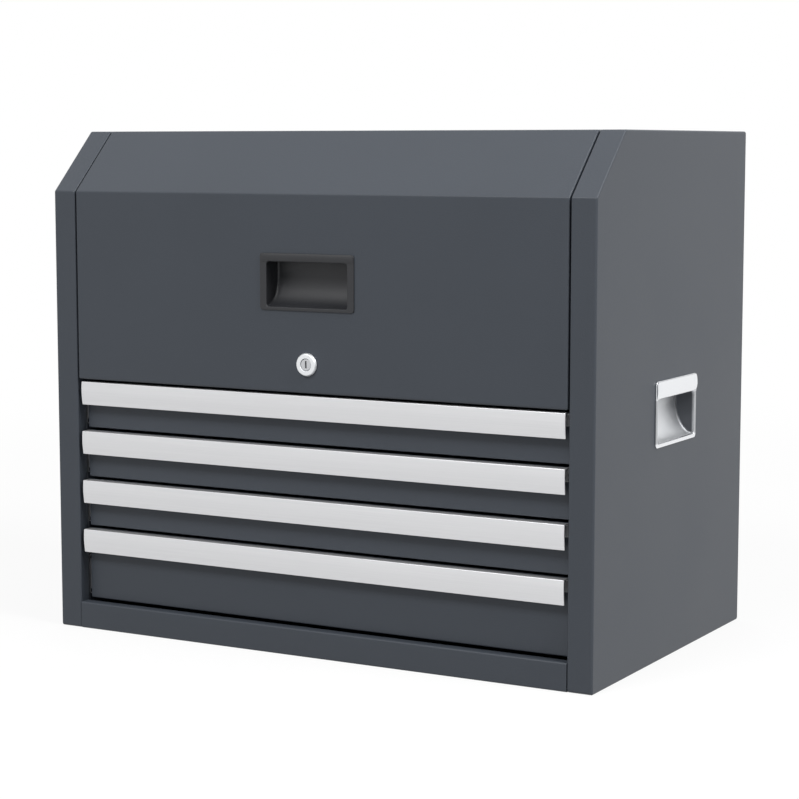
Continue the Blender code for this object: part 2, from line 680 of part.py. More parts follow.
def strut(side, sign, lid, dark, bright, steel):
    """Make a gas strut between a bracket on the side and an ear on the lid.

    It is modelled upright with its foot at the origin, then leant to its closed line.
    """
    foot = Vector((0, hinge_y - STRUT_FOOT_FORWARD, floor_z + STRUT_FOOT_RISE))
    head = Vector((0, hinge_y - STRUT_HEAD_FORWARD, hinge_z - STRUT_HEAD_DROP))
    plane = sign * (opening_half - STRUT_INSET)
    line = head - foot
    lean = -math.atan2(line.y, line.z)
    length = line.length
    half_eye = STRUT_EYE_THICKNESS / 2
    tube_end = length - STRUT_HEAD_LENGTH - FIT_GAP

    tube_start = STRUT_EYE_RADIUS + STRUT_CAP / 2
    bore = STRUT_TUBE_RADIUS - STRUT_TUBE_WALL
    tube = turned(
        "strut_tube_" + side,
        [
            (tube_start, STRUT_TUBE_RADIUS),
            (tube_end, STRUT_TUBE_RADIUS),
            (tube_end, STRUT_ROD_RADIUS + FIT_GAP),
            (tube_end - STRUT_GUIDE, STRUT_ROD_RADIUS + FIT_GAP),
            (tube_end - STRUT_GUIDE, bore),
            (tube_start + STRUT_CAP, bore),
        ],
        "Z", (0, 0), SMALL_ROUND_STEPS, dark,
    )
    eye_outline = arc((0, 0), (STRUT_EYE_RADIUS, STRUT_EYE_RADIUS), 180, 360, ARC_STEPS)
    foot_outline = eye_outline + [
        (STRUT_EYE_RADIUS, tube_start + STRUT_CAP / 2),
        (-STRUT_EYE_RADIUS, tube_start + STRUT_CAP / 2),
    ]
    foot_eye = prism("strut_foot_eye_" + side, foot_outline, "X", -half_eye, half_eye)
    boolean(tube, foot_eye, "UNION")
    hole = prism(
        "strut_foot_hole_" + side,
        ring((0, 0), STRUT_STUD_RADIUS + FIT_GAP, SMALL_ROUND_STEPS),
        "X", -half_eye - OVERRUN, half_eye + OVERRUN,
    )
    boolean(tube, hole, "DIFFERENCE")

    piston_start = tube_start + STRUT_CAP + STRUT_BUFFER
    rod = turned(
        "strut_rod_" + side,
        [
            (piston_start, bore - FIT_GAP),
            (piston_start + STRUT_PISTON, bore - FIT_GAP),
            (piston_start + STRUT_PISTON, STRUT_ROD_RADIUS),
            (length - STRUT_EYE_RADIUS, STRUT_ROD_RADIUS),
        ],
        "Z", (0, 0), SMALL_ROUND_STEPS, bright,
    )
    head_outline = arc((0, length), (STRUT_EYE_RADIUS, STRUT_EYE_RADIUS), 0, 180, ARC_STEPS)
    neck = length - 2 * STRUT_EYE_RADIUS - STRUT_CAP
    head_outline += [(-STRUT_EYE_RADIUS, neck), (STRUT_EYE_RADIUS, neck)]
    head_eye = prism("strut_head_eye_" + side, head_outline, "X", -half_eye, half_eye)
    boolean(rod, head_eye, "UNION")
    ear_near = half_eye + STRUT_STUD_RADIUS / 2
    knob_ends = sorted((0, sign * (ear_near - FIT_GAP)))
    knob = prism(
        "strut_head_stud_" + side,
        ring((0, length), STRUT_STUD_RADIUS, SMALL_ROUND_STEPS),
        "X", knob_ends[0], knob_ends[1],
    )
    boolean(rod, knob, "UNION")

    axis = joint_empty("strut_swing_" + side, (plane, foot.y, foot.z))
    axis.rotation_euler = (lean, 0, 0)
    for piece, tools in ((tube, (foot_eye, hole)), (rod, (head_eye, knob))):
        piece.parent = axis
        for tool in tools:
            tool.parent = piece

    ear_ends = sorted((plane + sign * ear_near, plane + sign * (ear_near + BRACKET_SHEET)))
    ear_half = STRUT_EYE_RADIUS + EAR_MARGIN
    ear = block(
        "lid_ear_" + side,
        (ear_ends[0], head.y - ear_half, head.z - ear_half),
        (ear_ends[1], head.y + ear_half, case_height - SHEET / 2),
    )
    boolean(lid, ear, "UNION")

    web_near = opening_half - STRUT_INSET + STRUT_TUBE_RADIUS + BRACKET_CLEARANCE
    outline = [
        (wall_inside, -BRACKET_HALF),
        (web_near, -BRACKET_HALF),
        (web_near, BRACKET_HALF),
        (wall_inside, BRACKET_HALF),
        (wall_inside, BRACKET_HALF - BRACKET_SHEET),
        (web_near + BRACKET_SHEET, BRACKET_HALF - BRACKET_SHEET),
        (web_near + BRACKET_SHEET, BRACKET_SHEET - BRACKET_HALF),
        (wall_inside, BRACKET_SHEET - BRACKET_HALF),
    ]
    placed = [(sign * x, foot.y + y) for x, y in outline]
    bracket = prism("strut_bracket_" + side, placed, "Z", foot.z - BRACKET_HALF, foot.z + BRACKET_HALF, steel)
    stud_ends = sorted((plane - sign * (half_eye + FIT_GAP), sign * (web_near + BRACKET_SHEET / 2)))
    stud = prism(
        "strut_stud_" + side,
        ring((foot.y, foot.z), STRUT_STUD_RADIUS, SMALL_ROUND_STEPS),
        "X", stud_ends[0], stud_ends[1],
    )
    boolean(bracket, stud, "UNION")


def case_shell(body_finish, liner_finish):
    """Make the fixed panels, rails and uprights, and return the two side walls."""
    walls = {side: side_wall(side, sign, body_finish) for side, sign in (("left", -1), ("right", 1))}

    back_path = [(back_y - HEM, 0), (back_y, 0), (back_y, hinge_z - BACK_PANEL_DROP)]
    swept("back_panel", back_path, pan_section(nested_half, PAN_RETURN, SHEET), False, body_finish)

    base_edge = HEM + FIT_GAP
    open_box(
        "base_panel",
        (-nested_half, front_y + base_edge, 0),
        (nested_half, back_y - base_edge, BASE_FOLD),
        SHEET,
        liner_finish,
    )

    bottom_path = [
        (front_y + HEM, BOTTOM_RAIL_HEIGHT),
        (front_y, BOTTOM_RAIL_HEIGHT),
        (front_y, 0),
        (front_y + HEM, 0),
    ]
    prism("front_bottom_rail", strip(bottom_path, SHEET), "X", -nested_half, nested_half, body_finish)

    rail_bottom = lid_bottom + TOP_RAIL_LIFT
    top_path = [
        (rail_y + TOP_RAIL_DEPTH, rail_top),
        (rail_y, rail_top),
        (rail_y, rail_bottom),
        (rail_y + TOP_RAIL_DEPTH, rail_bottom),
    ]
    top_rail = prism("front_top_rail", strip(top_path, SHEET), "X", -wall_inside, wall_inside, body_finish)
    cam_front = rail_y + SHEET + CAM_CLEARANCE
    slot = block(
        "cam_slot",
        (-CAM_WIDTH / 2 - CAM_SLOT_MARGIN, cam_front - CAM_CLEARANCE / 2, rail_top - SHEET - OVERRUN),
        (CAM_REACH + CAM_SLOT_MARGIN, cam_front + CAM_THICKNESS + CAM_SLOT_MARGIN, rail_top + OVERRUN),
    )
    boolean(top_rail, slot, "DIFFERENCE")

    leg_y = back_y - FRAME_RETURN - FIT_GAP
    neck_half = nested_half - SHEET - FIT_GAP
    floor_front = rail_y + FLOOR_LAP
    floor_back = back_y - SHEET - FIT_GAP
    floor_outline = [
        (-wall_inside, floor_front),
        (wall_inside, floor_front),
        (wall_inside, leg_y),
        (neck_half, leg_y),
        (neck_half, floor_back),
        (-neck_half, floor_back),
        (-neck_half, leg_y),
        (-wall_inside, leg_y),
    ]
    prism("till_floor", floor_outline, "Z", floor_z, floor_z + SHEET, liner_finish)

    web = opening_half + FIT_GAP
    upright_low = FRAME_RETURN + FIT_GAP
    places = {
        "front": (slide_start, rail_bottom - FIT_GAP),
        "rear": (slide_end - UPRIGHT_WIDTH - REAR_UPRIGHT_INSET, floor_z - FIT_GAP),
    }
    for end, (start, high) in places.items():
        for side, sign in (("left", -1), ("right", 1)):
            outline = strip(
                [
                    (wall_inside, start),
                    (web, start),
                    (web, start + UPRIGHT_WIDTH),
                    (wall_inside, start + UPRIGHT_WIDTH),
                ],
                -UPRIGHT_SHEET,
            )
            placed = [(sign * x, y) for x, y in outline]
            prism("slide_upright_" + end + "_" + side, placed, "Z", upright_low, high, body_finish)
    return walls


def side_handles(walls, finish):
    """Make both bright side handles and cut the walls to take them."""
    depth = FRAME_WIDTH - HANDLE_BACK_CLEARANCE - HANDLE_WALL
    half_wide, half_high = cup_sizes(HANDLE_WIDTH, HANDLE_HEIGHT, HANDLE_RIM, HANDLE_RIM, HANDLE_WALL)
    centre_z = floor_z - HANDLE_BELOW_FLOOR - half_high
    for side, sign in (("left", -1), ("right", 1)):
        made = cup(
            "side_handle_" + side, HANDLE_WIDTH, HANDLE_HEIGHT, depth, HANDLE_BAND,
            HANDLE_RIM, HANDLE_RIM, HANDLE_CROWN, HANDLE_WALL, HANDLE_CORNER, finish,
        )
        made.location = (sign * half_width, HANDLE_SETBACK, centre_z)
        made.rotation_euler = (0, 0, sign * math.pi / 2)
        ends = sorted((sign * (half_width - SHEET - OVERRUN), sign * (half_width + OVERRUN)))
        cut = block(
            "handle_cutout_" + side,
            (ends[0], HANDLE_SETBACK - half_wide - FIT_GAP, centre_z - half_high - FIT_GAP),
            (ends[1], HANDLE_SETBACK + half_wide + FIT_GAP, centre_z + half_high + FIT_GAP),
        )
        boolean(walls[side], cut, "DIFFERENCE")


def lid(finish, pull_finish):
    """Fold the lid from one sheet: lower hem, front, slope and top, with both sides turned in."""
    path = [
        (hinge_y, case_height),
        (slope_top_y, case_height),
        (front_y, slope_base_z),
        (front_y, lid_bottom),
        (front_y + HEM, lid_bottom),
    ]
    panel = swept("lid_panel", path, pan_section(opening_half - LID_SEAM, PAN_RETURN, SHEET), False, finish)

    pull = cup(
        "lid_pull", LID_PULL_WIDTH, LID_PULL_HEIGHT, LID_PULL_DEPTH, LID_PULL_BAND,
        LID_PULL_SIDE_RIM, LID_PULL_EDGE_RIM, LID_PULL_CROWN, LID_PULL_WALL, LID_PULL_CORNER, pull_finish,
    )
    centre_z = lid_bottom + LID_PULL_RISE
    pull.location = (0, front_y, centre_z)
    half_wide, half_high = cup_sizes(
        LID_PULL_WIDTH, LID_PULL_HEIGHT, LID_PULL_SIDE_RIM, LID_PULL_EDGE_RIM, LID_PULL_WALL
    )
    cut = block(
        "lid_pull_cutout",
        (-half_wide - FIT_GAP, front_y - OVERRUN, centre_z - half_high - FIT_GAP),
        (half_wide + FIT_GAP, front_y + SHEET + OVERRUN, centre_z + half_high + FIT_GAP),
    )
    boolean(panel, cut, "DIFFERENCE")
    centre = (0, lid_bottom + LOCK_RISE)
    hole_radius = LOCK_BODY_RADIUS + FIT_GAP
    round_hole(panel, "lock_hole", "Y", centre, hole_radius, front_y - OVERRUN, front_y + SHEET + OVERRUN)
    return panel, pull


def smooth_round_pieces():
    """Shade the turned pieces smooth, with their sharp edges kept."""
    for piece in bpy.data.objects:
        if piece.type == "MESH" and not piece.hide_render:
            piece.data.shade_smooth()
            piece.data.set_sharp_from_angle(angle=math.radians(35))


def build():
    """Build the whole chest."""
    for old in list(bpy.data.objects):
        bpy.data.objects.remove(old, do_unlink=True)
    charcoal = material("charcoal_paint", (0.085, 0.095, 0.105), 0.25, 0.42)
    drawer_steel = material("drawer_steel", (0.10, 0.105, 0.11), 0.3, 0.45)
    aluminium = material("brushed_aluminium", (0.80, 0.80, 0.80), 1.0, 0.32)
    zinc = material("zinc_steel", (0.62, 0.63, 0.64), 1.0, 0.35)
    plastic = material("black_plastic", (0.018, 0.018, 0.020), 0.0, 0.45)
    chrome = material("handle_chrome", (0.85, 0.86, 0.87), 1.0, 0.18)
    strut_black = material("strut_black", (0.02, 0.02, 0.022), 0.2, 0.35)

    walls = case_shell(charcoal, drawer_steel)
    side_handles(walls, chrome)

    lid_empty = joint_empty("lid_swing", (0, hinge_y, hinge_z))
    panel, pull = lid(charcoal, plastic)
    case_leaf, lid_leaf, pin = piano_hinge(zinc, zinc)
    for side, sign in (("left", -1), ("right", 1)):
        strut(side, sign, panel, strut_black, chrome, zinc)
    bpy.context.view_layer.update()
    carry(lid_empty, [panel, pull, lid_leaf])
    lock(lid_empty, chrome, zinc)

    low = deck_z
    heights = [DEEP_FRONT_HEIGHT] + [SMALL_FRONT_HEIGHT] * SMALL_DRAWER_COUNT
    for step, height in enumerate(heights):
        drawer(len(heights) - step, low, height, drawer_steel, aluminium, zinc)
        low += height + DRAWER_GAP
    smooth_round_pieces()


build()
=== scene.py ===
# %% [markdown]
# # A steel tool chest, dressed over its measured model
#
# The chest is folded sheet metal: a case, a lid that closes a deep till, and four drawers on ball slides.
# The measured model already holds every piece at its real size. This lesson gives the pieces their bends,
# rolled edges and finishes, then lights them. Each new piece is a grid of points worked out with numpy.

# %% Load the measured model
import json
import math

import bpy
import numpy as np
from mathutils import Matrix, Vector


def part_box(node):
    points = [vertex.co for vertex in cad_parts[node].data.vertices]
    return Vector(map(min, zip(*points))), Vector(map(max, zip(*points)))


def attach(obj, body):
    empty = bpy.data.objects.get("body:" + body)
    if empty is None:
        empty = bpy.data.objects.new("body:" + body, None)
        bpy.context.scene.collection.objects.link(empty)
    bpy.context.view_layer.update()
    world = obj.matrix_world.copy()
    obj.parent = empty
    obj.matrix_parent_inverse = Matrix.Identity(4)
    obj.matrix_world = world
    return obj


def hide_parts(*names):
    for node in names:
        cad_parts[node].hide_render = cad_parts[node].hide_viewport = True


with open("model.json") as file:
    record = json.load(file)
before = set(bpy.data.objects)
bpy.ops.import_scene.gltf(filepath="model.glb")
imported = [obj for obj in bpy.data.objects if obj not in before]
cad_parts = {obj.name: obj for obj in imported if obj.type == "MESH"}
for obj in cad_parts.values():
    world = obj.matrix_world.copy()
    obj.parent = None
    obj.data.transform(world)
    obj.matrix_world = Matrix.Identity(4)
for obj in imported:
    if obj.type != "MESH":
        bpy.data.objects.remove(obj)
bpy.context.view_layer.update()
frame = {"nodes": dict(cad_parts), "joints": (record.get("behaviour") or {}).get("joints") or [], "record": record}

# %% [markdown]
# ## Reading sizes from the model
#
# A size that is typed twice can go wrong twice. The places of the case, the lid, the drawers and the fittings
# are read from the model's own points, and only what the model doesn't have, such as a bend's radius, is
# typed here.

# %% Measure the case and the lid
def span(node):
    """Give a node's lowest and highest corner as arrays."""
    low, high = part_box(node)
    return np.array(low), np.array(high)


def corners_of(node):
    """Give all points of a node's mesh as an array with a row for each."""
    mesh = frame["nodes"][node].data
    flat = np.empty(len(mesh.vertices) * 3, np.float32)
    mesh.vertices.foreach_get("co", flat)
    return flat.reshape(-1, 3).astype(float)


NEAR = 0.0005
wall_low, wall_high = span("side_wall_right")
opening_half, front_y = wall_low[:2]
half_width, back_y, top_z = wall_high
wall_points = corners_of("side_wall_right")
slope_base_z = wall_points[wall_points[:, 1] < front_y + NEAR][:, 2].max()
slope_top_y = wall_points[wall_points[:, 2] > top_z - NEAR][:, 1].min()
lid_low, lid_high = span("lid_panel")
lid_half = lid_high[0]
case_sizes = [half_width, front_y, back_y, top_z, slope_base_z, slope_top_y]
print("half width, front, back, top, slope's base and top:", np.round(case_sizes, 4))

# %% [markdown]
# ## Bends in sheet metal
#
# A press brake can't fold a sharp edge: the outside of each fold is an arc of about twice the sheet's
# thickness. That arc is what catches the light along every edge of a real chest. So the basic tool here is a
# path of straight runs joined by arcs, which can also be moved sideways by an inset without gaining or losing
# a point. Two such paths, one sheet thickness apart, are the two skins of a folded sheet.

# %% Paths with rounded corners
SHEET = 0.001
BEND_RADIUS = 0.002
PATH_RADIUS = 0.003
BEND_STEPS = 6
LEAD = 0.0006
TIGHTEST = 0.00004


def corner_bend(corner, before, after, radius, inset, lead):
    """Give the arc that joins two runs, with a lead point on each side of it.

    The arc starts and ends radius * tan(half the turn) away from the corner. An inset to the left draws the
    radius in on a left turn and lets it out on a right turn.
    """
    normal = np.array([-before[1], before[0]])
    beyond = np.array([-after[1], after[0]])
    corner = corner + inset * (normal + beyond) / (1 + normal @ beyond)
    turn = math.atan2(before[0] * after[1] - before[1] * after[0], before @ after)
    side = math.copysign(1, turn)
    radius = max(radius - side * inset, TIGHTEST)
    reach = radius * math.tan(abs(turn) / 2)
    centre = corner - reach * before + side * radius * normal
    angles = turn * np.linspace(0, 1, BEND_STEPS + 1)[:, None]
    across = np.array([-normal[1], normal[0]])
    bend = centre - side * radius * (np.cos(angles) * normal + np.sin(angles) * across)
    return np.vstack([corner - (reach + lead) * before, bend, corner + (reach + lead) * after])


def rounded_path(corners, radii, inset=0.0, closed=False, lead=LEAD, marks=None, shares=()):
    """Give points along straight runs joined by arcs, all moved to their left by an inset.

    marks places extra points on a run where an axis reaches given values, and shares places them at given
    shares of each other run.
    """
    corners = np.asarray(corners, float)
    ahead = np.roll(corners, -1, axis=0) - corners
    ahead /= np.linalg.norm(ahead, axis=1, keepdims=True)
    last = len(corners) - 1
    bends = []
    for index, corner in enumerate(corners):
        if not closed and index in (0, last):
            run = ahead[0] if index == 0 else ahead[last - 1]
            bends.append((corner + inset * np.array([-run[1], run[0]]))[None])
        else:
            bends.append(corner_bend(corner, ahead[index - 1], ahead[index], radii[index], inset, lead))
    rows = []
    for index, bend in enumerate(bends):
        rows.append(bend)
        if index == last and not closed:
            break
        start, end = bend[-1], bends[(index + 1) % len(bends)][0]
        axis, values = (marks or {}).get(index, (None, None))
        steps = np.asarray(shares, float)
        if values is not None:
            steps = (np.asarray(values) - start[axis]) / (end[axis] - start[axis])
        rows.append(start + steps[:, None] * (end - start))
    return np.vstack(rows)


side_outline = [(front_y, 0), (back_y, 0), (back_y, top_z), (slope_top_y, top_z), (front_y, slope_base_z)]
print("points round a side:", len(rounded_path(side_outline, [PATH_RADIUS] * 5, closed=True)))

# %% [markdown]
# ## From grids to pieces
#
# Two builders cover nearly every piece. `sheet` takes two grids, the outer and the inner skin, and closes
# every open edge between them with a rim, so a hole is made just by leaving cells out. `solid` takes rows of
# points that run around, and caps the first and last row. `piece` turns any skin that came out inside
# outwards, by the sign of its volume, and hands the result to the body that it moves with.

# %% Skins and pieces
SHARP_ANGLE = 38


def numbered(rows, columns, around, looped=False):
    """Give the four corner numbers of each cell of a grid of points."""
    numbers = np.arange(rows * columns).reshape(rows, columns)
    if around:
        numbers = np.column_stack([numbers, numbers[:, :1]])
    if looped:
        numbers = np.vstack([numbers, numbers[:1]])
    return np.stack([numbers[:-1, :-1], numbers[:-1, 1:], numbers[1:, 1:], numbers[1:, :-1]], -1)


def sheet(outer, inner, keep=None, around=False, filled=False):
    """Join two grids of points into one closed sheet of metal.

    keep says which cells are there. With filled, the first row is a loop that a flat face closes.
    """
    rows, columns = outer.shape[:2]
    count = rows * columns
    quads = numbered(rows, columns, around)
    quads = quads.reshape(-1, 4) if keep is None else quads[keep]
    edges = quads[:, [0, 1, 1, 2, 2, 3, 3, 0]].reshape(-1, 2)
    rim = edges[~np.isin(edges @ [count, 1], edges @ [1, count])]
    groups = []
    if filled:
        rim = rim[(rim >= columns).any(1)]
        loop = np.arange(columns)[None]
        groups += [loop[:, ::-1], loop + count]
    groups += [quads, quads[:, ::-1] + count]
    groups.append(np.column_stack([rim[:, 1], rim[:, 0], rim[:, 0] + count, rim[:, 1] + count]))
    used = np.unique(np.concatenate([group.ravel() for group in groups]))
    points = np.concatenate([outer.reshape(-1, 3), inner.reshape(-1, 3)])[used]
    return points, [np.searchsorted(used, group) for group in groups]


def solid(rows, looped=False):
    """Skin rows of points that run around, with a flat cap on the first and last row, or none on a ring."""
    count, columns = rows.shape[:2]
    quads = numbered(count, columns, True, looped).reshape(-1, 4)
    groups = [quads]
    if not looped:
        loop = np.arange(columns)[None]
        groups += [loop[:, ::-1], loop + (count - 1) * columns]
    return rows.reshape(-1, 3), groups


def volume(points, groups):
    """Add up the signed volume between the origin and each face, split into a fan of triangles."""
    total = 0.0
    for group in groups:
        for corner in range(1, group.shape[1] - 1):
            first, second, third = (points[group[:, index]] for index in (0, corner, corner + 1))
            total += np.einsum("ij,ij->", first, np.cross(second, third))
    return total


def piece(name, skins, slot, body, *nodes, dull=None):
    """Make one object from closed skins, facing outwards, on a body, in place of the nodes it stands for.

    Its slot also names its finish. Its last argument is an array with a value for each point: where the metal
    is dull, and in the side handles' pockets where shade is painted dark.
    """
    places, faces, start = [], [], 0
    for points, groups in skins:
        flip = -1 if volume(points, groups) < 0 else 1
        for group in groups:
            faces += (group[:, ::flip] + start).tolist()
        places.append(points)
        start += len(points)
    mesh = bpy.data.meshes.new(name)
    mesh.from_pydata(np.concatenate(places).tolist(), [], faces)
    mesh.materials.append(finishes[slot])
    mesh.shade_smooth()
    mesh.set_sharp_from_angle(angle=math.radians(SHARP_ANGLE))
    if dull is not None:
        values = mesh.attributes.new("dull", "FLOAT", "POINT").data
        values.foreach_set("value", dull.ravel().astype(np.float32))
    made = bpy.data.objects.new(name, mesh)
    bpy.context.scene.collection.objects.link(made)
    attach(made, body)
    if nodes:
        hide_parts(*nodes)
    print(name + ":", len(faces), "faces")
    return made


print("cells in a grid of 3 by 4 points:", len(numbered(3, 4, False).reshape(-1, 4)))

# %% [markdown]
# ## Shader maths as Python
#
# A finish is a few numbers that vary over the surface. Wiring Math nodes by hand hides the formula, so a
# small class wraps a socket and turns Python's operators into Math nodes. One method adds every other node.

# %% A socket that can be added and multiplied
class Signal:
    """A shader output that Python's operators turn into Math nodes."""

    def __init__(self, shading, socket):
        self.shading = shading
        self.socket = socket

    def math(self, operation, first, second):
        return self.shading.node("ShaderNodeMath", {"operation": operation}, {0: first, 1: second})

    def highest(self, other):
        return self.math("MAXIMUM", self, other)

    def __add__(self, other):
        return self.math("ADD", self, other)

    def __radd__(self, other):
        return self.math("ADD", other, self)

    def __sub__(self, other):
        return self.math("SUBTRACT", self, other)

    def __rsub__(self, other):
        return self.math("SUBTRACT", other, self)

    def __mul__(self, other):
        return self.math("MULTIPLY", self, other)

    def __rmul__(self, other):
        return self.math("MULTIPLY", other, self)


class Shading:
    """A node tree of a material or the world, and one method that adds any node."""

    def __init__(self, tree):
        self.tree = tree

    def node(self, kind, settings=None, sockets=None, output=0):
        """Add a node: its settings first, then the values or links of its sockets."""
        made = self.tree.nodes.new(kind)
        for setting, value in (settings or {}).items():
            setattr(made, setting, value)
        for socket, value in (sockets or {}).items():
            self.plug(made.inputs[socket], value)
        return Signal(self, made.outputs[output])

    def plug(self, target, value):
        """Link a signal to a socket, or set the socket's value."""
        if isinstance(value, Signal):
            self.tree.links.new(value.socket, target)
        else:
            target.default_value = value


class Finish(Shading):
    """A material with a Principled shader, whose patterns follow the object's own coordinates."""

    def __init__(self, name, metallic=0.0, **constants):
        self.material = bpy.data.materials.new(name)
        self.material.use_nodes = True
        super().__init__(self.material.node_tree)
        self.shader = self.tree.nodes["Principled BSDF"]
        self.shader.inputs["Metallic"].default_value = metallic
        for socket, value in constants.items():
            self.shader.inputs[socket.replace("_", " ")].default_value = value
        self.place = self.node("ShaderNodeTexCoord", output="Object")

    def stretched(self, scale):
        """Scale the object's own coordinates along each axis."""
        return self.node("ShaderNodeMapping", None, {"Vector": self.place, "Scale": scale})

    def noise(self, scale, detail=2.0, place=None, roughness=0.5):
        """Give a cloudy pattern between 0 and 1, with a number of patches per metre."""
        sockets = {"Vector": place or self.place, "Scale": scale, "Detail": detail, "Roughness": roughness}
        return self.node("ShaderNodeTexNoise", None, sockets)

    def blend(self, share, first, second):
        """Mix two colours, each a triple or a signal, by a share."""
        first, second = ((*c, 1.0) if isinstance(c, tuple) else c for c in (first, second))
        return self.node("ShaderNodeMix", {"data_type": "RGBA"}, {0: share, 6: first, 7: second}, output=2)

    def set(self, colour=None, roughness=None, height=None, bump=0.0):
        """Feed the colour, the roughness, and a height in metres through a Bump node."""
        if colour is not None:
            self.plug(self.shader.inputs["Base Color"], colour)
        if roughness is not None:
            self.plug(self.shader.inputs["Roughness"], roughness)
        if height is not None:
            normal = self.node("ShaderNodeBump", None, {"Strength": 1.0, "Distance": bump, "Height": height})
            self.plug(self.shader.inputs["Normal"], normal)
        return self.material


print("shader helpers:", Signal.__name__, Shading.__name__, Finish.__name__)

# %% [markdown]
# ## The charcoal powder coat
#
# Powder coat is sprayed dry and baked until it flows. It never levels fully, so it keeps a fine orange peel
# of about a millimetre that spreads each highlight. Three noises do this: two fine ones give the peel and its
# grit through a bump, and a broad one shifts the tint and the gloss a little over a hand's width. One coat
# covers nearly all sheets, as one spray line coats them, and a duller one the base and the till's floor.

# %% Powder coats
def powder_coat(name, dark, light, gloss):
    """A fine orange peel over a slightly cloudy tint."""
    coat = Finish(name, Specular_IOR_Level=0.32)
    peel = coat.noise(620, 2.0)
    grit = coat.noise(2600, 1.0)
    cloud = coat.noise(7, 3.0)
    height = peel * 0.7 + grit * 0.3
    return coat.set(
        coat.blend(cloud * 0.7 + grit * 0.3, dark, light),
        gloss + (cloud - 0.5) * 0.10 + (grit - 0.5) * 0.12,
        height,
        0.00016,
    )


finishes = {
    "case_paint": powder_coat("charcoal_powder_coat", (0.047, 0.055, 0.0675), (0.056, 0.065, 0.080), 0.42),
    "inner_paint": powder_coat("inner_powder_coat", (0.042, 0.048, 0.057), (0.051, 0.058, 0.068), 0.50),
}
print("paints:", list(finishes))

# %% [markdown]
# ## Bright metals and plastic
#
# The drawer pulls are extruded aluminium, brushed along their length and anodised satin: noise that is
# stretched far along X draws the brush lines in the roughness and the tint. The handles and the lock are
# satin chrome, the slides zinc plate with its soft cloudy bloom, and the lid's pull a grained black moulding.

# %% Metals, plastic and strut finishes
# Dark grey that a point attribute blends in: a duller finish on the lock, and painted shade in the side handles'
# pockets.
DULL_AND_SHADE_GREY = (0.09, 0.095, 0.105)


def brushed(name, low, high, rough, metallic):
    """Lines along X in tint and gloss, from noise squeezed across them."""
    metal = Finish(name, metallic=metallic)
    fine = metal.noise(1, 3.0, metal.stretched((9, 2600, 2600)))
    broad = metal.noise(1, 2.0, metal.stretched((3, 420, 420)))
    line = fine * 0.65 + broad * 0.35
    return metal.set(metal.blend(line, low, high), rough + (line - 0.5) * 0.22, line, 0.000018)


def plated(name, low, high, rough, swing, scale, wave):
    """A plated skin: cloudy tint and gloss, with a very low ripple left by the polishing.

    Where a piece's point attribute is above 0, the metal turns dark grey and rough: on the lock a duller finish,
    in the side handles' pockets painted shade.
    """
    metal = Finish(name, metallic=1.0)
    cloud = metal.noise(scale, 4.0)
    fine = metal.noise(scale * 30, 2.0)
    mixed = cloud * 0.6 + fine * 0.4
    # The point attribute is read here; in the side handles' pockets its dark grey is painted shade.
    dull = metal.node("ShaderNodeAttribute", {"attribute_name": "dull"}, output="Fac")
    colour = metal.blend(dull * dull * dull, metal.blend(mixed, low, high), DULL_AND_SHADE_GREY)
    return metal.set(colour, rough + (mixed - 0.5) * swing + dull * (2 - dull) * 0.4, cloud, wave)


def moulded(name, low, high, rough, scale, depth):
    """A moulded or painted skin with a fine grain."""
    skin = Finish(name, Specular_IOR_Level=0.45)
    grain = skin.noise(scale, 2.0, roughness=0.6)
    cloud = skin.noise(30, 2.0)
    gloss = rough + (grain - 0.5) * 0.2 + (cloud - 0.5) * 0.06
    return skin.set(skin.blend(grain, low, high), gloss, grain, depth)


finishes |= {
    "pull_aluminium": brushed("brushed_aluminium", (0.62, 0.625, 0.64), (0.76, 0.76, 0.77), 0.40, 0.8),
    "handle_chrome": plated("satin_chrome", (0.80, 0.82, 0.85), (0.88, 0.89, 0.90), 0.20, 0.10, 60, 0.00002),
    "zinc_steel": plated("zinc_plate", (0.44, 0.455, 0.48), (0.58, 0.59, 0.60), 0.36, 0.24, 90, 0.00002),
    "rod_chrome": plated("ground_chrome", (0.74, 0.75, 0.77), (0.82, 0.83, 0.84), 0.12, 0.06, 200, 0.000008),
    "lid_pull_plastic": moulded(
        "grained_black_plastic", (0.013, 0.014, 0.0165), (0.026, 0.027, 0.031), 0.46, 1500, 0.00008,
    ),
    "strut_black": moulded(
        "strut_black_paint", (0.012, 0.012, 0.014), (0.022, 0.022, 0.025), 0.30, 900, 0.00003,
    ),
}
print("finishes:", list(finishes))

# %% [markdown]
# ## The side walls
#
# Each side is one sheet with a flange turned in all round it and a second, shorter return behind that, which
# stiffens the edge. Its grid has one column for each point of the rounded outline. Its rows are steps
# across the metal: the flat plate, the first bend, the flange, the second bend and the return. The plate
# runs in to the cut-out for the handle along rays from the handle's middle, so the grid needs no other cut.

# %% Side shells with their handle cut-outs
FRAME_RETURN = 0.014
FIT_GAP = 0.0003
quarter = np.linspace(0, math.pi / 2, BEND_STEPS + 1)


def quarter_bend(skin, bend=BEND_RADIUS):
    """Give how wide and how deep each point of a bend lies from its centre, for a skin at a depth."""
    radius = bend - skin
    return radius * np.cos(quarter), radius * np.sin(quarter)


def side_rows(skin):
    """Give (x, inset) steps across a side for a skin that lies a depth under the outer surface.

    Both bends turn about centres one bend radius in from their edges, so a deeper skin has a smaller radius.
    """
    wide, deep = quarter_bend(skin)
    first = np.column_stack([half_width - BEND_RADIUS + wide, BEND_RADIUS - deep])
    second = np.column_stack([opening_half + BEND_RADIUS - deep, BEND_RADIUS - wide])
    return np.vstack([
        (half_width - skin, BEND_RADIUS + LEAD), first, (half_width - BEND_RADIUS - LEAD, skin),
        (opening_half + BEND_RADIUS + LEAD, skin), second,
        (opening_half + skin, BEND_RADIUS + LEAD), (opening_half + skin, FRAME_RETURN),
    ])


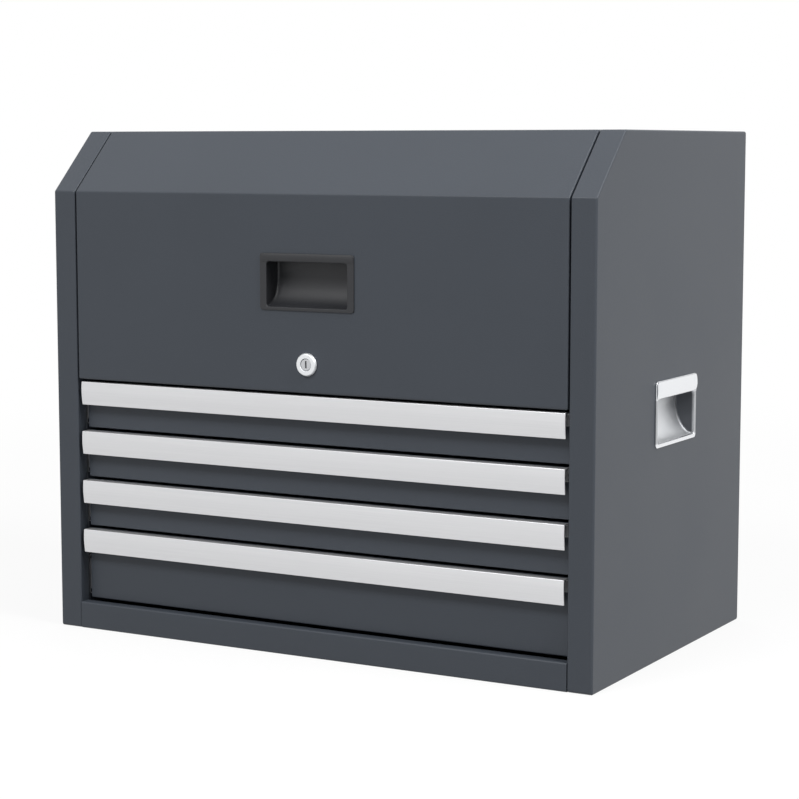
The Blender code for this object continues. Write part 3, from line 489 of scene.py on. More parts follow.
handle_points = corners_of("side_handle_right")
handle_body = handle_points[handle_points[:, 0] < half_width - 2 * SHEET]
hole_low = handle_body.min(0)[1:] - FIT_GAP
hole_high = handle_body.max(0)[1:] + FIT_GAP
hole_middle = (hole_low + hole_high) / 2
hole_half = (hole_high - hole_low) / 2


def ray_loop(points, middle, half):
    """Pull points along rays to the edge of a rectangle, and set the nearest four on its corners."""
    spokes = points - middle
    loop = middle + spokes * np.min(half / np.maximum(np.abs(spokes), 1e-9), axis=1)[:, None]
    for signs in ((1, 1), (-1, 1), (-1, -1), (1, -1)):
        corner = middle + half * signs
        loop[np.argmin(np.linalg.norm(loop - corner, axis=1))] = corner
    return loop


def side_grid(sign, skin):
    """Give one skin of a side as a grid: the cut-out's loop, then a loop for each step across the metal."""
    slope = hole_half[1] / hole_half[0]
    rear = hole_middle[1] + np.array([-1, 1]) * slope * (back_y - hole_middle[0])
    front = hole_middle[1] + np.array([1, -1]) * slope * (hole_middle[0] - front_y)
    marks = {1: (1, rear), 4: (1, front)}
    rows = []
    for x, inset in side_rows(skin):
        loop = rounded_path(side_outline, [PATH_RADIUS] * 5, inset, closed=True, marks=marks)
        rows.append(np.column_stack([np.full(len(loop), sign * x), loop]))
    hole = ray_loop(rows[0][:, 1:], hole_middle, hole_half)
    return np.stack([np.column_stack([rows[0][:, :1], hole])] + rows)


for side, sign in (("left", -1), ("right", 1)):
    skins = [sheet(side_grid(sign, 0.0), side_grid(sign, SHEET), around=True)]
    piece("side_shell_" + side, skins, "case_paint", "case", "side_wall_" + side)

# %% [markdown]
# ## Folded panels
#
# The lid, the back, the rails, the uprights and the strut brackets are all strips folded along a path. A
# grid carries the strip's cross-section, in steps of (across, inset), along that path. The lid and the back
# also turn in at both sides, so their sections end in a bend and a short return.

# %% Carry a section along a folded path
PAN_RETURN = 0.010


def pan_section(half, depth, skin, marks=()):
    """Give (across, inset) steps of a strip whose two sides turn in by a depth."""
    wide, deep = quarter_bend(skin)
    bend = np.column_stack([half - BEND_RADIUS + wide, BEND_RADIUS - deep])
    edge = [(half - skin, depth), (half - skin, BEND_RADIUS + LEAD)]
    side = np.vstack([edge, bend, (half - BEND_RADIUS - LEAD, skin)])
    middle = np.array([(across, skin) for across in sorted(marks, reverse=True)]).reshape(-1, 2)
    return np.vstack([side, middle, (side * [-1, 1])[::-1]])


def flat_section(low, high, skin, marks=()):
    """Give (across, inset) steps of a plain strip."""
    return np.array([(across, skin) for across in (low, *sorted(marks), high)])


def folded(corners, radii, section, order=(0, 1, 2), **path):
    """Carry a section along a path, as a grid with a row for each point of the path.

    order says which of across, first and second path axis is X, Y and Z.
    """
    columns = []
    for across, inset in section:
        run = rounded_path(corners, radii, inset, **path)
        columns.append(np.column_stack([np.full(len(run), across), run]))
    return np.stack(columns, 1)[..., list(order)]


def strip(path, radii, low, high, thickness=SHEET, order=(0, 1, 2), cuts=(), **options):
    """Fold a plain strip along a path, as its outer and its inner skin. cuts are extra steps across it."""
    sections = [flat_section(low, high, skin, cuts) for skin in (0, thickness)]
    return [folded(path, radii, section, order, **options) for section in sections]


def cells(grid):
    """Give the middle of each cell of a grid."""
    return (grid[:-1, :-1] + grid[:-1, 1:] + grid[1:, 1:] + grid[1:, :-1]) / 4


def touching(mask):
    """Say which points of a grid touch a cell of a mask."""
    padded = np.pad(mask, 1)
    return padded[:-1, :-1] | padded[1:, :-1] | padded[:-1, 1:] | padded[1:, 1:]


def cut_round(skins, keep, region, plane, centre, radius):
    """Leave out the cells in a circle, and move the points round the gap onto the circle."""
    gap = region & (np.hypot(*(cells(skins[0])[..., plane] - centre).transpose(2, 0, 1)) < radius)
    keep &= ~gap
    edge = touching(gap) & touching(keep)
    for skin in skins:
        spokes = skin[edge][:, plane] - centre
        moved = skin[edge]
        moved[:, plane] = centre + spokes * (radius / np.linalg.norm(spokes, axis=1))[:, None]
        skin[edge] = moved


back_low, back_high = span("back_panel")
back_path = [(back_low[1], 0), (back_y, 0), (back_y, back_high[2])]
sections = [pan_section(back_high[0], PAN_RETURN, skin) for skin in (0, SHEET)]
skins = [folded(back_path, [0, BEND_RADIUS, 0], section) for section in sections]
piece("back_sheet", [sheet(*skins)], "case_paint", "case", "back_panel")

# %% [markdown]
# ## Rails and uprights
#
# A rail is a trough on its side: a web that faces forwards, with a leg along its top and its bottom. The top
# rail has a slot that the lock's cam turns down into, and its upper bend is tight to stay clear of it. The
# four uprights that carry the slides are troughs stood on end. The two skins of each are strips folded alike.

# %% Troughs for the rails and uprights
def trough(near, far, low, high):
    """Give the path of a web between two legs, from the high leg's end to the low leg's end."""
    return [(far, high), (near, high), (near, low), (far, low)]


def on_side(sign, skins):
    """Join the two skins of a folded strip, drawn for the right side, on the side that the sign says."""
    return sheet(*(skin * (sign, 1, 1) for skin in skins))


LEG_RADII = [0, BEND_RADIUS, BEND_RADIUS, 0]
SLOT_BEND = 0.0008
rail_low, rail_high = span("front_bottom_rail")
rail_path = trough(front_y, rail_high[1], 0, rail_high[2])
skins = strip(rail_path, LEG_RADII, rail_low[0], rail_high[0])
piece("bottom_rail_sheet", [sheet(*skins)], "case_paint", "case", "front_bottom_rail")

rail_low, rail_high = span("front_top_rail")
rail_path = trough(rail_low[1], rail_high[1], rail_low[2], rail_high[2])
slot_points = corners_of("front_top_rail")
slot_points = slot_points[np.abs(slot_points[:, 0]) < rail_high[0] / 2]
slot_low, slot_high = slot_points.min(0), slot_points.max(0)
print("slot for the cam", np.round(slot_low, 5), np.round(slot_high, 5))
slot_marks = {0: (0, [slot_high[1], slot_low[1]])}
slot_bend = [0, SLOT_BEND, BEND_RADIUS, 0]
cuts = [slot_low[0], slot_high[0]]
skins = strip(rail_path, slot_bend, rail_low[0], rail_high[0], cuts=cuts, lead=LEAD / 6, marks=slot_marks)
middles = cells(skins[0])
in_slot = ((middles > slot_low) & (middles < slot_high))[..., :2].all(-1)
in_slot &= middles[..., 2] > rail_high[2] - NEAR
piece("top_rail_sheet", [sheet(*skins, keep=~in_slot)], "case_paint", "case", "front_top_rail")

UPRIGHT_SHEET = 0.0012
for end in ("front", "rear"):
    for side, sign in (("left", -1), ("right", 1)):
        name = "slide_upright_" + end + "_" + side
        low, high = span(name)
        near, far = sorted(np.abs([low[0], high[0]]))
        path = trough(near, far, low[1], high[1])
        skins = strip(path, LEG_RADII, low[2], high[2], UPRIGHT_SHEET, (1, 2, 0))
        piece(name + "_folded", [on_side(sign, skins)], "case_paint", "case", name)

# %% [markdown]
# ## The lid
#
# The lid's top, slope and front are one sheet, with a hem along its lower edge. Its front needs a square
# hole for the pull and a round one for the lock. Lines of the grid are placed on the edges of both holes.
# Cells inside them are left out, and the points round the lock's hole are then moved onto a circle.

# %% Lid sheet with its two holes
LOCK_HOLE_RADIUS = 0.0095
LOCK_CELLS = 9
LID_HEM = 0.012
EAR_CORNER = 0.004
EAR_SETBACK = 0.004
EAR_INNER_X = 0.2
EAR_FRONT_Y = 0.05

pull_points = corners_of("lid_pull")
pull_body = pull_points[pull_points[:, 1] > front_y + 2 * SHEET]
pull_middle = (pull_body.min(0) + pull_body.max(0)) / 2
pull_half = (pull_body.max(0) - pull_body.min(0)) / 2 + FIT_GAP
lock_low, lock_high = span("lock_housing")
lock_z = (lock_low[2] + lock_high[2]) / 2
lock_lines = np.linspace(-1.15, 1.15, LOCK_CELLS + 1) * LOCK_HOLE_RADIUS

front_marks = np.concatenate([
    pull_middle[2] + [pull_half[2], -pull_half[2]],
    lock_z - lock_lines,
])
across_marks = [-pull_half[0], *lock_lines, pull_half[0]]
lid_path = [
    (lid_high[1], top_z), (slope_top_y, top_z), (front_y, slope_base_z),
    (front_y, lid_low[2]), (front_y + LID_HEM, lid_low[2]),
]
lid_radii = [0, PATH_RADIUS, PATH_RADIUS, BEND_RADIUS, 0]


def lid_grid(skin):
    """Give one skin of the lid, with the points round the lock's hole moved onto a circle."""
    section = pan_section(lid_half, PAN_RETURN, skin, across_marks)
    return folded(lid_path, lid_radii, section, marks={2: (1, front_marks)})


lid_outer, lid_inner = lid_grid(0.0), lid_grid(SHEET)
middles = cells(lid_outer)
on_front = middles[..., 1] < front_y + NEAR
in_pull = (np.abs(middles[..., 0]) < pull_half[0]) & (np.abs(middles[..., 2] - pull_middle[2]) < pull_half[2])
lid_keep = ~(on_front & in_pull)
cut_round((lid_outer, lid_inner), lid_keep, on_front, [0, 2], np.array([0, lock_z]), LOCK_HOLE_RADIUS)
lid_skins = [sheet(lid_outer, lid_inner, keep=lid_keep)]
ear_root = top_z - SHEET
lid_points = corners_of("lid_panel")
from_middle = np.abs(lid_points[:, 0])
ear_points = lid_points[(from_middle < lid_half - EAR_SETBACK) & (from_middle > EAR_INNER_X)]
ear_points = ear_points[(ear_points[:, 1] > EAR_FRONT_Y) & (ear_points[:, 2] < top_z - 2 * SHEET)]
for sign in (-1, 1):
    ear = ear_points[ear_points[:, 0] * sign > 0]
    ear_low, ear_high = ear.min(0), ear.max(0)
    loop = rounded_path(
        [
            (ear_low[1], ear_root), (ear_low[1], ear_low[2]),
            (ear_high[1], ear_low[2]), (ear_high[1], ear_root),
        ],
        [0.0, EAR_CORNER, EAR_CORNER, 0.0], closed=True,
    )
    rows = [np.column_stack([np.full(len(loop), x), loop]) for x in (ear_low[0], ear_high[0])]
    lid_skins.append(solid(np.stack(rows)))
piece("lid_sheet", lid_skins, "case_paint", "lid", "lid_panel")

# %% [markdown]
# ## Drawers
#
# A drawer is a folded box with a front sheet on it. Both are pans: a flat bottom, one bend, and walls. The
# rows of a pan's grid are rounded rectangles, each with an inset and a height. The box's walls end in a hem,
# where the sheet is rolled over inwards so that no raw edge is left to cut a hand.

# %% Pans, for the drawer fronts, the drawer boxes and the base
FRONT_BEND = 0.0014
FRONT_RETURN = 0.0026
HEM_RADIUS = 0.0013
HEM_DROP = 0.004
BOX_CORNER = 0.003
half_turn = np.linspace(0, math.pi, 2 * BEND_STEPS + 1)


def pan_rows(skin, bend, height, hem=False):
    """Give (inset, height) steps of a pan: its flat bottom, a bend, a wall, and a hem if it has one."""
    wide, deep = quarter_bend(skin, bend)
    rows = [(bend + LEAD, skin)]
    rows += list(zip(bend - deep, bend - wide))
    if not hem:
        return rows + [(skin, height)]
    rows.append((skin, height - HEM_RADIUS - LEAD))
    roll = HEM_RADIUS - skin
    rows += list(zip(HEM_RADIUS - roll * np.cos(half_turn), height - HEM_RADIUS + roll * np.sin(half_turn)))
    return rows + [(HEM_RADIUS + roll, height - HEM_RADIUS - HEM_DROP)]


def pan(low, high, corner, rows, order, start):
    """Give one skin of a pan as a grid of rounded rectangles.

    low and high are the rectangle's corners, and its walls rise along the third axis from start.
    """
    outline = [(high[0], low[1]), (high[0], high[1]), (low[0], high[1]), (low[0], low[1])]
    loops = []
    for inset, height in rows:
        loop = rounded_path(outline, [corner] * 4, inset, closed=True)
        loops.append(np.column_stack([loop, np.full(len(loop), start + height)]))
    return np.stack(loops)[..., list(order)]


def tray_skins(tray):
    """Make a drawer's front and box from the model's tray."""
    low, high = span(tray)
    points = corners_of(tray)
    box = points[points[:, 1] > low[1] + 2 * SHEET]
    box_low, box_high = box.min(0), box.max(0)
    start = np.array([box_low[0], low[1] + SHEET + FIT_GAP])
    height = box_high[2] - box_low[2]
    front, body = [], []
    for skin in (0, SHEET):
        rows = pan_rows(skin, FRONT_BEND, FRONT_RETURN)
        front.append(pan(low[[0, 2]], high[[0, 2]], FRONT_BEND, rows, (0, 2, 1), low[1]))
        rows = pan_rows(skin, BEND_RADIUS, height, hem=True)
        body.append(pan(start, box_high[:2], BOX_CORNER, rows, (0, 1, 2), box_low[2]))
    return [sheet(*front, around=True, filled=True), sheet(*body, around=True, filled=True)]


drawers = ("drawer_1", "drawer_2", "drawer_3", "drawer_4")
for drawer in drawers:
    tray = drawer + "_tray"
    piece(drawer + "_folded_tray", tray_skins(tray), "case_paint", drawer, tray)

base_low, base_high = span("base_panel")
base_rows = [pan_rows(skin, BEND_RADIUS, base_high[2]) for skin in (0, SHEET)]
skins = [pan(base_low[:2], base_high[:2], BOX_CORNER, rows, (0, 1, 2), 0.0) for rows in base_rows]
piece("base_pan", [sheet(*skins, around=True, filled=True)], "inner_paint", "case", "base_panel")

# %% [markdown]
# ## Aluminium drawer pulls
#
# Each pull is one extruded profile along the whole drawer: a broad face that bulges a little, so that it
# shades from light to dark downwards, an open back to hook the fingers into, and a leg that goes over the top
# of the front. An extrusion is a profile carried along a line, so the grid has the same loop of points at
# every station, drawn in a little at both sawn ends.

# %% Extruded pulls
PULL_LEG = 0.0031
PULL_WALL = 0.0016
PULL_BACK_LEG = 0.014
PULL_CROWN_TOP = 0.0012
PULL_CROWN_LOW = 0.0022
PULL_CROWN_SHARE = 0.4
PULL_CROWN_RADIUS = 0.07
END_CHAMFER = 0.0004


def bar(corners, radii, low, high, chamfer, order=(0, 1, 2)):
    """Carry a closed profile along a line, with a small chamfer at both ends."""
    stations = [(low, chamfer), (low + chamfer, 0), (high - chamfer, 0), (high, chamfer)]
    rows = []
    for along, inset in stations:
        loop = rounded_path(corners, radii, inset, closed=True, lead=LEAD / 4)
        rows.append(np.column_stack([np.full(len(loop), along), loop]))
    return solid(np.stack(rows)[..., list(order)])


for drawer in drawers:
    low, high = span(drawer + "_pull")
    face, back, top, bottom = low[1], high[1], high[2], low[2]
    profile = [
        (back, top), (face + PULL_CROWN_TOP, top), (face, top - PULL_CROWN_SHARE * (top - bottom)),
        (face + PULL_CROWN_LOW, bottom), (face + PULL_LEG, bottom), (face + PULL_LEG, top - PULL_WALL),
        (back - PULL_WALL, top - PULL_WALL), (back - PULL_WALL, top - PULL_BACK_LEG),
        (back, top - PULL_BACK_LEG),
    ]
    radii = [0.0005, 0.001, PULL_CROWN_RADIUS, 0.0004, 0.0003, 0.001, 0.001, 0.0004, 0.0004]
    skins = [bar(profile, radii, low[0], high[0], END_CHAMFER)]
    piece(drawer + "_pull_profile", skins, "pull_aluminium", drawer, drawer + "_pull")

# %% [markdown]
# ## Recessed cups
#
# The lid's pull and the side handles are the same kind of thing: a thin flange, a crowned band along the top
# to pull on, and a hollow that runs up behind that band and curves up from the lower lip. Cut solids would
# leave hard edges, so each cup is one loft of rounded rectangles. It starts at the back of its body, passes
# round the flange, over the face, rolls in at the mouth, widens behind the band and ends at the back wall.

# %% Loft a finger cup
CUP_FLANGE = 0.0012
BAND_WALL = 0.002
BAND_SLOPE = 0.0004
SCOOP_SHARE = 0.62
MOUTH_ROLL = 0.0008
FLANGE_ROUND = 0.0005
BODY_ROUND = 0.0015
HOLLOW_ROUND = 0.0025
CROWN_FADE = 0.008
loop_shares = np.linspace(0.02, 0.98, 25)
face_shares = (1 - np.cos(np.linspace(0, math.pi, 17))) / 2


def cup_rows(width, height, depth, band, side_rim, edge_rim, crown, wall, corner):
    """List the cup's rounded rectangles as (half width, low, high, corner radius, depth, crown)."""
    half, rise = width / 2, height / 2
    face = -FIT_GAP - CUP_FLANGE
    body = (half - side_rim + wall, edge_rim - rise - wall, rise - edge_rim + wall)
    rows = []
    for turn in np.linspace(0, math.pi / 2, 5):
        inset = BODY_ROUND * (1 - math.sin(turn))
        back = depth + wall - BODY_ROUND * (1 - math.cos(turn))
        rows.append((body[0] - inset, body[1] + inset, body[2] - inset, corner, back, 0))
    rows.append((*body, corner, -FIT_GAP, 0))
    rows.append((half, -rise, rise, corner, -FIT_GAP, 0))
    for turn in np.linspace(0, math.pi / 2, 5):
        inset = FLANGE_ROUND * (1 - math.cos(turn))
        back = face + FLANGE_ROUND * (1 - math.sin(turn))
        rows.append((half - inset, inset - rise, rise - inset, corner, back, 0))
    mouth = (half - side_rim, edge_rim - rise, rise - band)
    start = (half - FLANGE_ROUND, FLANGE_ROUND - rise, rise - FLANGE_ROUND)
    end = (mouth[0] + MOUTH_ROLL, mouth[1] - MOUTH_ROLL, mouth[2] + MOUTH_ROLL)
    for share in face_shares[1:]:
        sizes = [first + (second - first) * share for first, second in zip(start, end)]
        rows.append((*sizes, corner, face, crown))
    for turn in np.linspace(0, math.pi / 2, 5)[1:]:
        inset = MOUTH_ROLL * math.sin(turn)
        sizes = (end[0] - inset, end[1] + inset, end[2] - inset)
        rows.append((*sizes, corner, face + MOUTH_ROLL * (1 - math.cos(turn)), 0))
    ceiling = rise - edge_rim
    scoop = SCOOP_SHARE * (ceiling - mouth[1])
    rows.append((*mouth, corner, 0.0, 0))
    rows.append((*mouth, corner, BAND_WALL, 0))
    for turn in np.linspace(math.asin((BAND_WALL + BAND_SLOPE) / depth), math.pi / 2, 15):
        back = depth * math.sin(turn)
        past = max(0.0, back - depth + HOLLOW_ROUND)
        inset = HOLLOW_ROUND - math.sqrt(HOLLOW_ROUND ** 2 - past ** 2)
        low = mouth[1] + scoop * (1 - math.cos(turn))
        rows.append((mouth[0] - inset, low, ceiling - inset, corner, back, 0))
    return rows


def cup(width, height, depth, band, side_rim, edge_rim, crown, wall, corner):
    """Loft a cup that faces -Y, as rows of (x, y, z) points about the middle of its flange.

    The band's crown is a flattened half ellipse across the band, which fades out at the flange's ends.
    """
    loops = []
    middle = height / 2 - band / 2
    rows = cup_rows(width, height, depth, band, side_rim, edge_rim, crown, wall, corner)
    for half, low, high, radius, back, rise in rows:
        outline = [(half, low), (half, high), (-half, high), (-half, low)]
        loop = rounded_path(outline, [radius] * 4, closed=True, lead=LEAD / 4, shares=loop_shares)
        across = np.clip((loop[:, 1] - middle) / (band / 2), -1, 1)
        fade = 1 - np.clip((width / 2 - np.abs(loop[:, 0])) / CROWN_FADE, 0, 1)
        bulge = rise * (1 - across ** 2) ** 0.6 * np.sqrt(1 - fade ** 2)
        loops.append(np.column_stack([loop[:, 0], back - bulge, loop[:, 1]]))
    return np.stack(loops)


def cup_depth(points, axis, outward):
    """Measure how deep a cup's body runs behind the face that carries it."""
    return abs(outward - (points[:, axis].max() if outward < 0 else points[:, axis].min()))


LID_PULL_WALL = 0.002
flange_low, flange_high = span("lid_pull")
width, height = flange_high[0] - flange_low[0], flange_high[2] - flange_low[2]
depth = cup_depth(pull_points, 1, front_y) - LID_PULL_WALL
rows = cup(
    width, height, depth,
    band=0.009, side_rim=0.008, edge_rim=0.0035, crown=0.0012, wall=LID_PULL_WALL, corner=0.003,
)
rows += (0, front_y, (flange_low[2] + flange_high[2]) / 2)
piece("lid_pull_cup", [solid(rows)], "lid_pull_plastic", "lid", "lid_pull")

# %% [markdown]
# ## Side handles
#
# The side handles are die-cast and plated, with a broad bulging band that fills a palm. The same loft makes
# them, turned a quarter so that it faces outwards. A value on each point paints shade into the pocket: the end
# walls and the space behind the band are painted dark grey and rough, and the rest of the hollow a little duller.

# %% Plated side handles
HANDLE_WALL = 0.0015
HANDLE_BAND = 0.019
HANDLE_RIM = 0.004
PAINTED_SHADE_FADE = 0.001
flange_low, flange_high = span("side_handle_right")
width, height = flange_high[1] - flange_low[1], flange_high[2] - flange_low[2]
depth = cup_depth(handle_points, 0, half_width) - HANDLE_WALL
handle_rows = cup(
    width, height, depth,
    band=HANDLE_BAND, side_rim=HANDLE_RIM, edge_rim=HANDLE_RIM, crown=0.0035, wall=HANDLE_WALL, corner=0.004,
)
handle_middle = (flange_low + flange_high) / 2
across, back, up = np.moveaxis(handle_rows, -1, 0)


def ramp(values, start, end):
    """Rise smoothly from 0 at one value to 1 at another."""
    share = np.clip((values - start) / (end - start), 0, 1)
    return share * share * (3 - 2 * share)


mouth_half = width / 2 - HANDLE_RIM
mouth_low, mouth_high = HANDLE_RIM - height / 2, height / 2 - HANDLE_BAND
# Painted shade: the pocket's end walls and the hollow just under the band are marked to turn dark grey, as the
# shade that falls there; the rest of the hollow turns rougher and a little darker.
end_walls = ramp(np.abs(across), mouth_half - 0.0035, mouth_half - 0.0008)
below_band = ramp(up, mouth_high + PAINTED_SHADE_FADE, mouth_high - PAINTED_SHADE_FADE)
below_band *= ramp(up, mouth_low - PAINTED_SHADE_FADE, mouth_low + PAINTED_SHADE_FADE)
inside = ramp(back, 0.0, PAINTED_SHADE_FADE)
under_band = ramp(up, mouth_high - 0.014, mouth_high + 0.002)
dull = end_walls * below_band * (0.8 + 0.2 * inside)
dull = np.maximum(dull, inside * np.maximum(end_walls, 0.4 + 0.5 * under_band))
for side, sign in (("left", -1), ("right", 1)):
    rows = np.stack([sign * (half_width - back), handle_middle[1] + sign * across, handle_middle[2] + up], -1)
    node = "side_handle_" + side
    piece("side_handle_cup_" + side, [solid(rows)], "handle_chrome", "case", node, dull=dull)

# %% [markdown]
# ## The lock
#
# The lock's housing is turned: a domed bezel in front of the sheet and a body through it. Its plug is a disc
# with a slot for the key. Rays from the middle join the slot's long rectangle to the round rim, so the face
# of the plug is one clean grid from slot to rim.

# %% Turned housing, and a plug with a key slot
ROUND_STEPS = 64
BEZEL_ROUND = 0.0012
BEZEL_TAPER = 0.0012
KEY_SLOT_HALF = np.array([0.0009, 0.0039])
KEY_SLOT_DEPTH = 0.0065
SLOT_FLARE = 1.06
SLOT_CHAMFER = 0.0002
PLUG_ROUND = 0.0005
PLUG_DULL = 0.75
BEZEL_DULL = 0.5
turns = np.linspace(0, 2 * math.pi, ROUND_STEPS, endpoint=False)


def turned(profile, centre, axis, looped=False, steps=ROUND_STEPS):
    """Turn (along, radius) steps about an axis: every row is a circle of its own radius."""
    profile = np.asarray(profile, float)
    turns = np.linspace(0, 2 * math.pi, steps, endpoint=False)
    around = [index for index in range(3) if index != axis]
    rows = np.empty((len(profile), steps, 3))
    rows[..., axis] = profile[:, :1]
    rows[..., around[0]] = centre[0] + profile[:, 1:] * np.cos(turns)
    rows[..., around[1]] = centre[1] + profile[:, 1:] * np.sin(turns)
    return solid(rows, looped)


bezel_front, housing_end = lock_low[1], lock_high[1]
bezel_radius = (lock_high[0] - lock_low[0]) / 2
housing_points = corners_of("lock_housing")
body_points = housing_points[housing_points[:, 1] > front_y + SHEET]
body_radius = body_points[:, 0].max()
bore_radius = np.hypot(body_points[:, 0], body_points[:, 2] - lock_z).min()
seat = front_y - FIT_GAP
housing_profile = rounded_path(
    [
        (bezel_front, bore_radius + 0.0003), (bezel_front, bezel_radius - BEZEL_TAPER),
        (seat - BEZEL_TAPER, bezel_radius), (seat, bezel_radius), (seat, body_radius),
        (housing_end, body_radius), (housing_end, bore_radius), (bezel_front + 0.001, bore_radius),
    ],
    [0.0003, BEZEL_ROUND, 0.0015, 0.0002, 0.0002, 0.0003, 0.0002, 0.0003], closed=True, lead=LEAD / 6,
)
bezel = turned(housing_profile, (0, lock_z), 1, looped=True)
dull = np.full(len(bezel[0]), BEZEL_DULL)
piece("lock_bezel", [bezel], "handle_chrome", "lid", "lock_housing", dull=dull)

plug_low, plug_high = span("lock_plug")
plug_radius = (plug_high[0] - plug_low[0]) / 2
tail = corners_of("lock_plug")
tail_radius = tail[tail[:, 1] > plug_high[1] - NEAR][:, 0].max()
shoulder = tail[np.hypot(tail[:, 0], tail[:, 2] - lock_z) > tail_radius + NEAR][:, 1].max()
rim_points = np.column_stack([np.cos(turns), np.sin(turns)])
slot_loop = ray_loop(rim_points, np.zeros(2), KEY_SLOT_HALF)
plug_face = plug_low[1]
slot_mouth = slot_loop * SLOT_FLARE
flat_rim = rim_points * (plug_radius - PLUG_ROUND)
plug_rows = [(slot_loop, plug_face + KEY_SLOT_DEPTH), (slot_loop, plug_face + SLOT_CHAMFER)]
plug_rows.append((slot_mouth, plug_face))
plug_rows += [(slot_mouth * (1 - share) + flat_rim * share, plug_face) for share in (0.3, 0.6, 0.9, 1)]
for turn in quarter[1:]:
    radius = plug_radius - PLUG_ROUND * (1 - math.sin(turn))
    plug_rows.append((rim_points * radius, plug_face + PLUG_ROUND * (1 - math.cos(turn))))
plug_rows += [(rim_points * plug_radius, shoulder), (rim_points * tail_radius, shoulder)]
plug_rows.append((rim_points * tail_radius, plug_high[1]))
rows = np.stack([
    np.column_stack([loop[:, 0], np.full(len(loop), y), lock_z + loop[:, 1]]) for loop, y in plug_rows
])
dull = np.where(rows[..., 1] > plug_face + PLUG_ROUND, 1.0, PLUG_DULL)
piece("lock_key_plug", [solid(rows)], "handle_chrome", "lock", "lock_plug", dull=dull)

# %% [markdown]
# ## Gas struts
#
# Each strut is turned work between two flat eyes: a black tube with a rolled shoulder, and a ground rod with
# a piston at its low end. The tube is bored, so the rod really slides in it when the lid rises. Both are
# modelled upright, with the foot's pivot at the origin, and leant to the line of the model's sliding joint.
# The foot's stud stands on a small folded bracket.

# %% Tubes, rods and their eyes
joints = {joint["name"]: joint for joint in frame["joints"]}
ROD_RADIUS = 0.003
EYE_RADIUS = 0.006
EYE_HALF = 0.0025
NECK_SHARE = 0.8
NECK_START = 0.75 * EYE_RADIUS
TUBE_NECK_END = 0.0115
ROD_NECK_LENGTH = 0.008
ROD_EYE_HOLE = 0.0012
SHOULDER_START = 0.0105
SHOULDER_END = 0.0135
SHOULDER_RADIUS = 0.0045
COLLAR_RISE = 0.0011
STUD_RADIUS = 0.003
STUD_TIP_START = 0.93
STUD_TIP_SHARE = 0.85
EYE_ROUND = 0.0006
STRUT_WALL = 0.0012
STRUT_CAP_END = 0.015
BRACKET_SHEET = 0.0015
GUIDE_LENGTH = 0.004
PISTON_LENGTH = 0.008


def leant(skin, line, foot):
    """Turn an upright skin about X until Z lies along the line, and move it to the foot."""
    points, groups = skin
    x, y, z = points.T
    placed = np.column_stack([x, y * line[2] + z * line[1], z * line[2] - y * line[1]])
    return placed + foot, groups


def eye(height, hole, low, high):
    """Give a flat eye: a ring across the strut, and a neck that joins it to the tube or rod."""
    ring_profile = rounded_path(
        [(-EYE_HALF, hole), (-EYE_HALF, EYE_RADIUS), (EYE_HALF, EYE_RADIUS), (EYE_HALF, hole)],
        [EYE_ROUND / 2, EYE_ROUND, EYE_ROUND, EYE_ROUND / 2], closed=True, lead=LEAD / 6,
    )
    wide = EYE_RADIUS * NECK_SHARE
    neck = [(EYE_HALF, -wide), (EYE_HALF, wide), (-EYE_HALF, wide), (-EYE_HALF, -wide)]
    return [
        turned(ring_profile, (0, height), 0, looped=True),
        bar(neck, [EYE_ROUND] * 4, low, high, EYE_ROUND / 2, order=(1, 2, 0)),
    ]


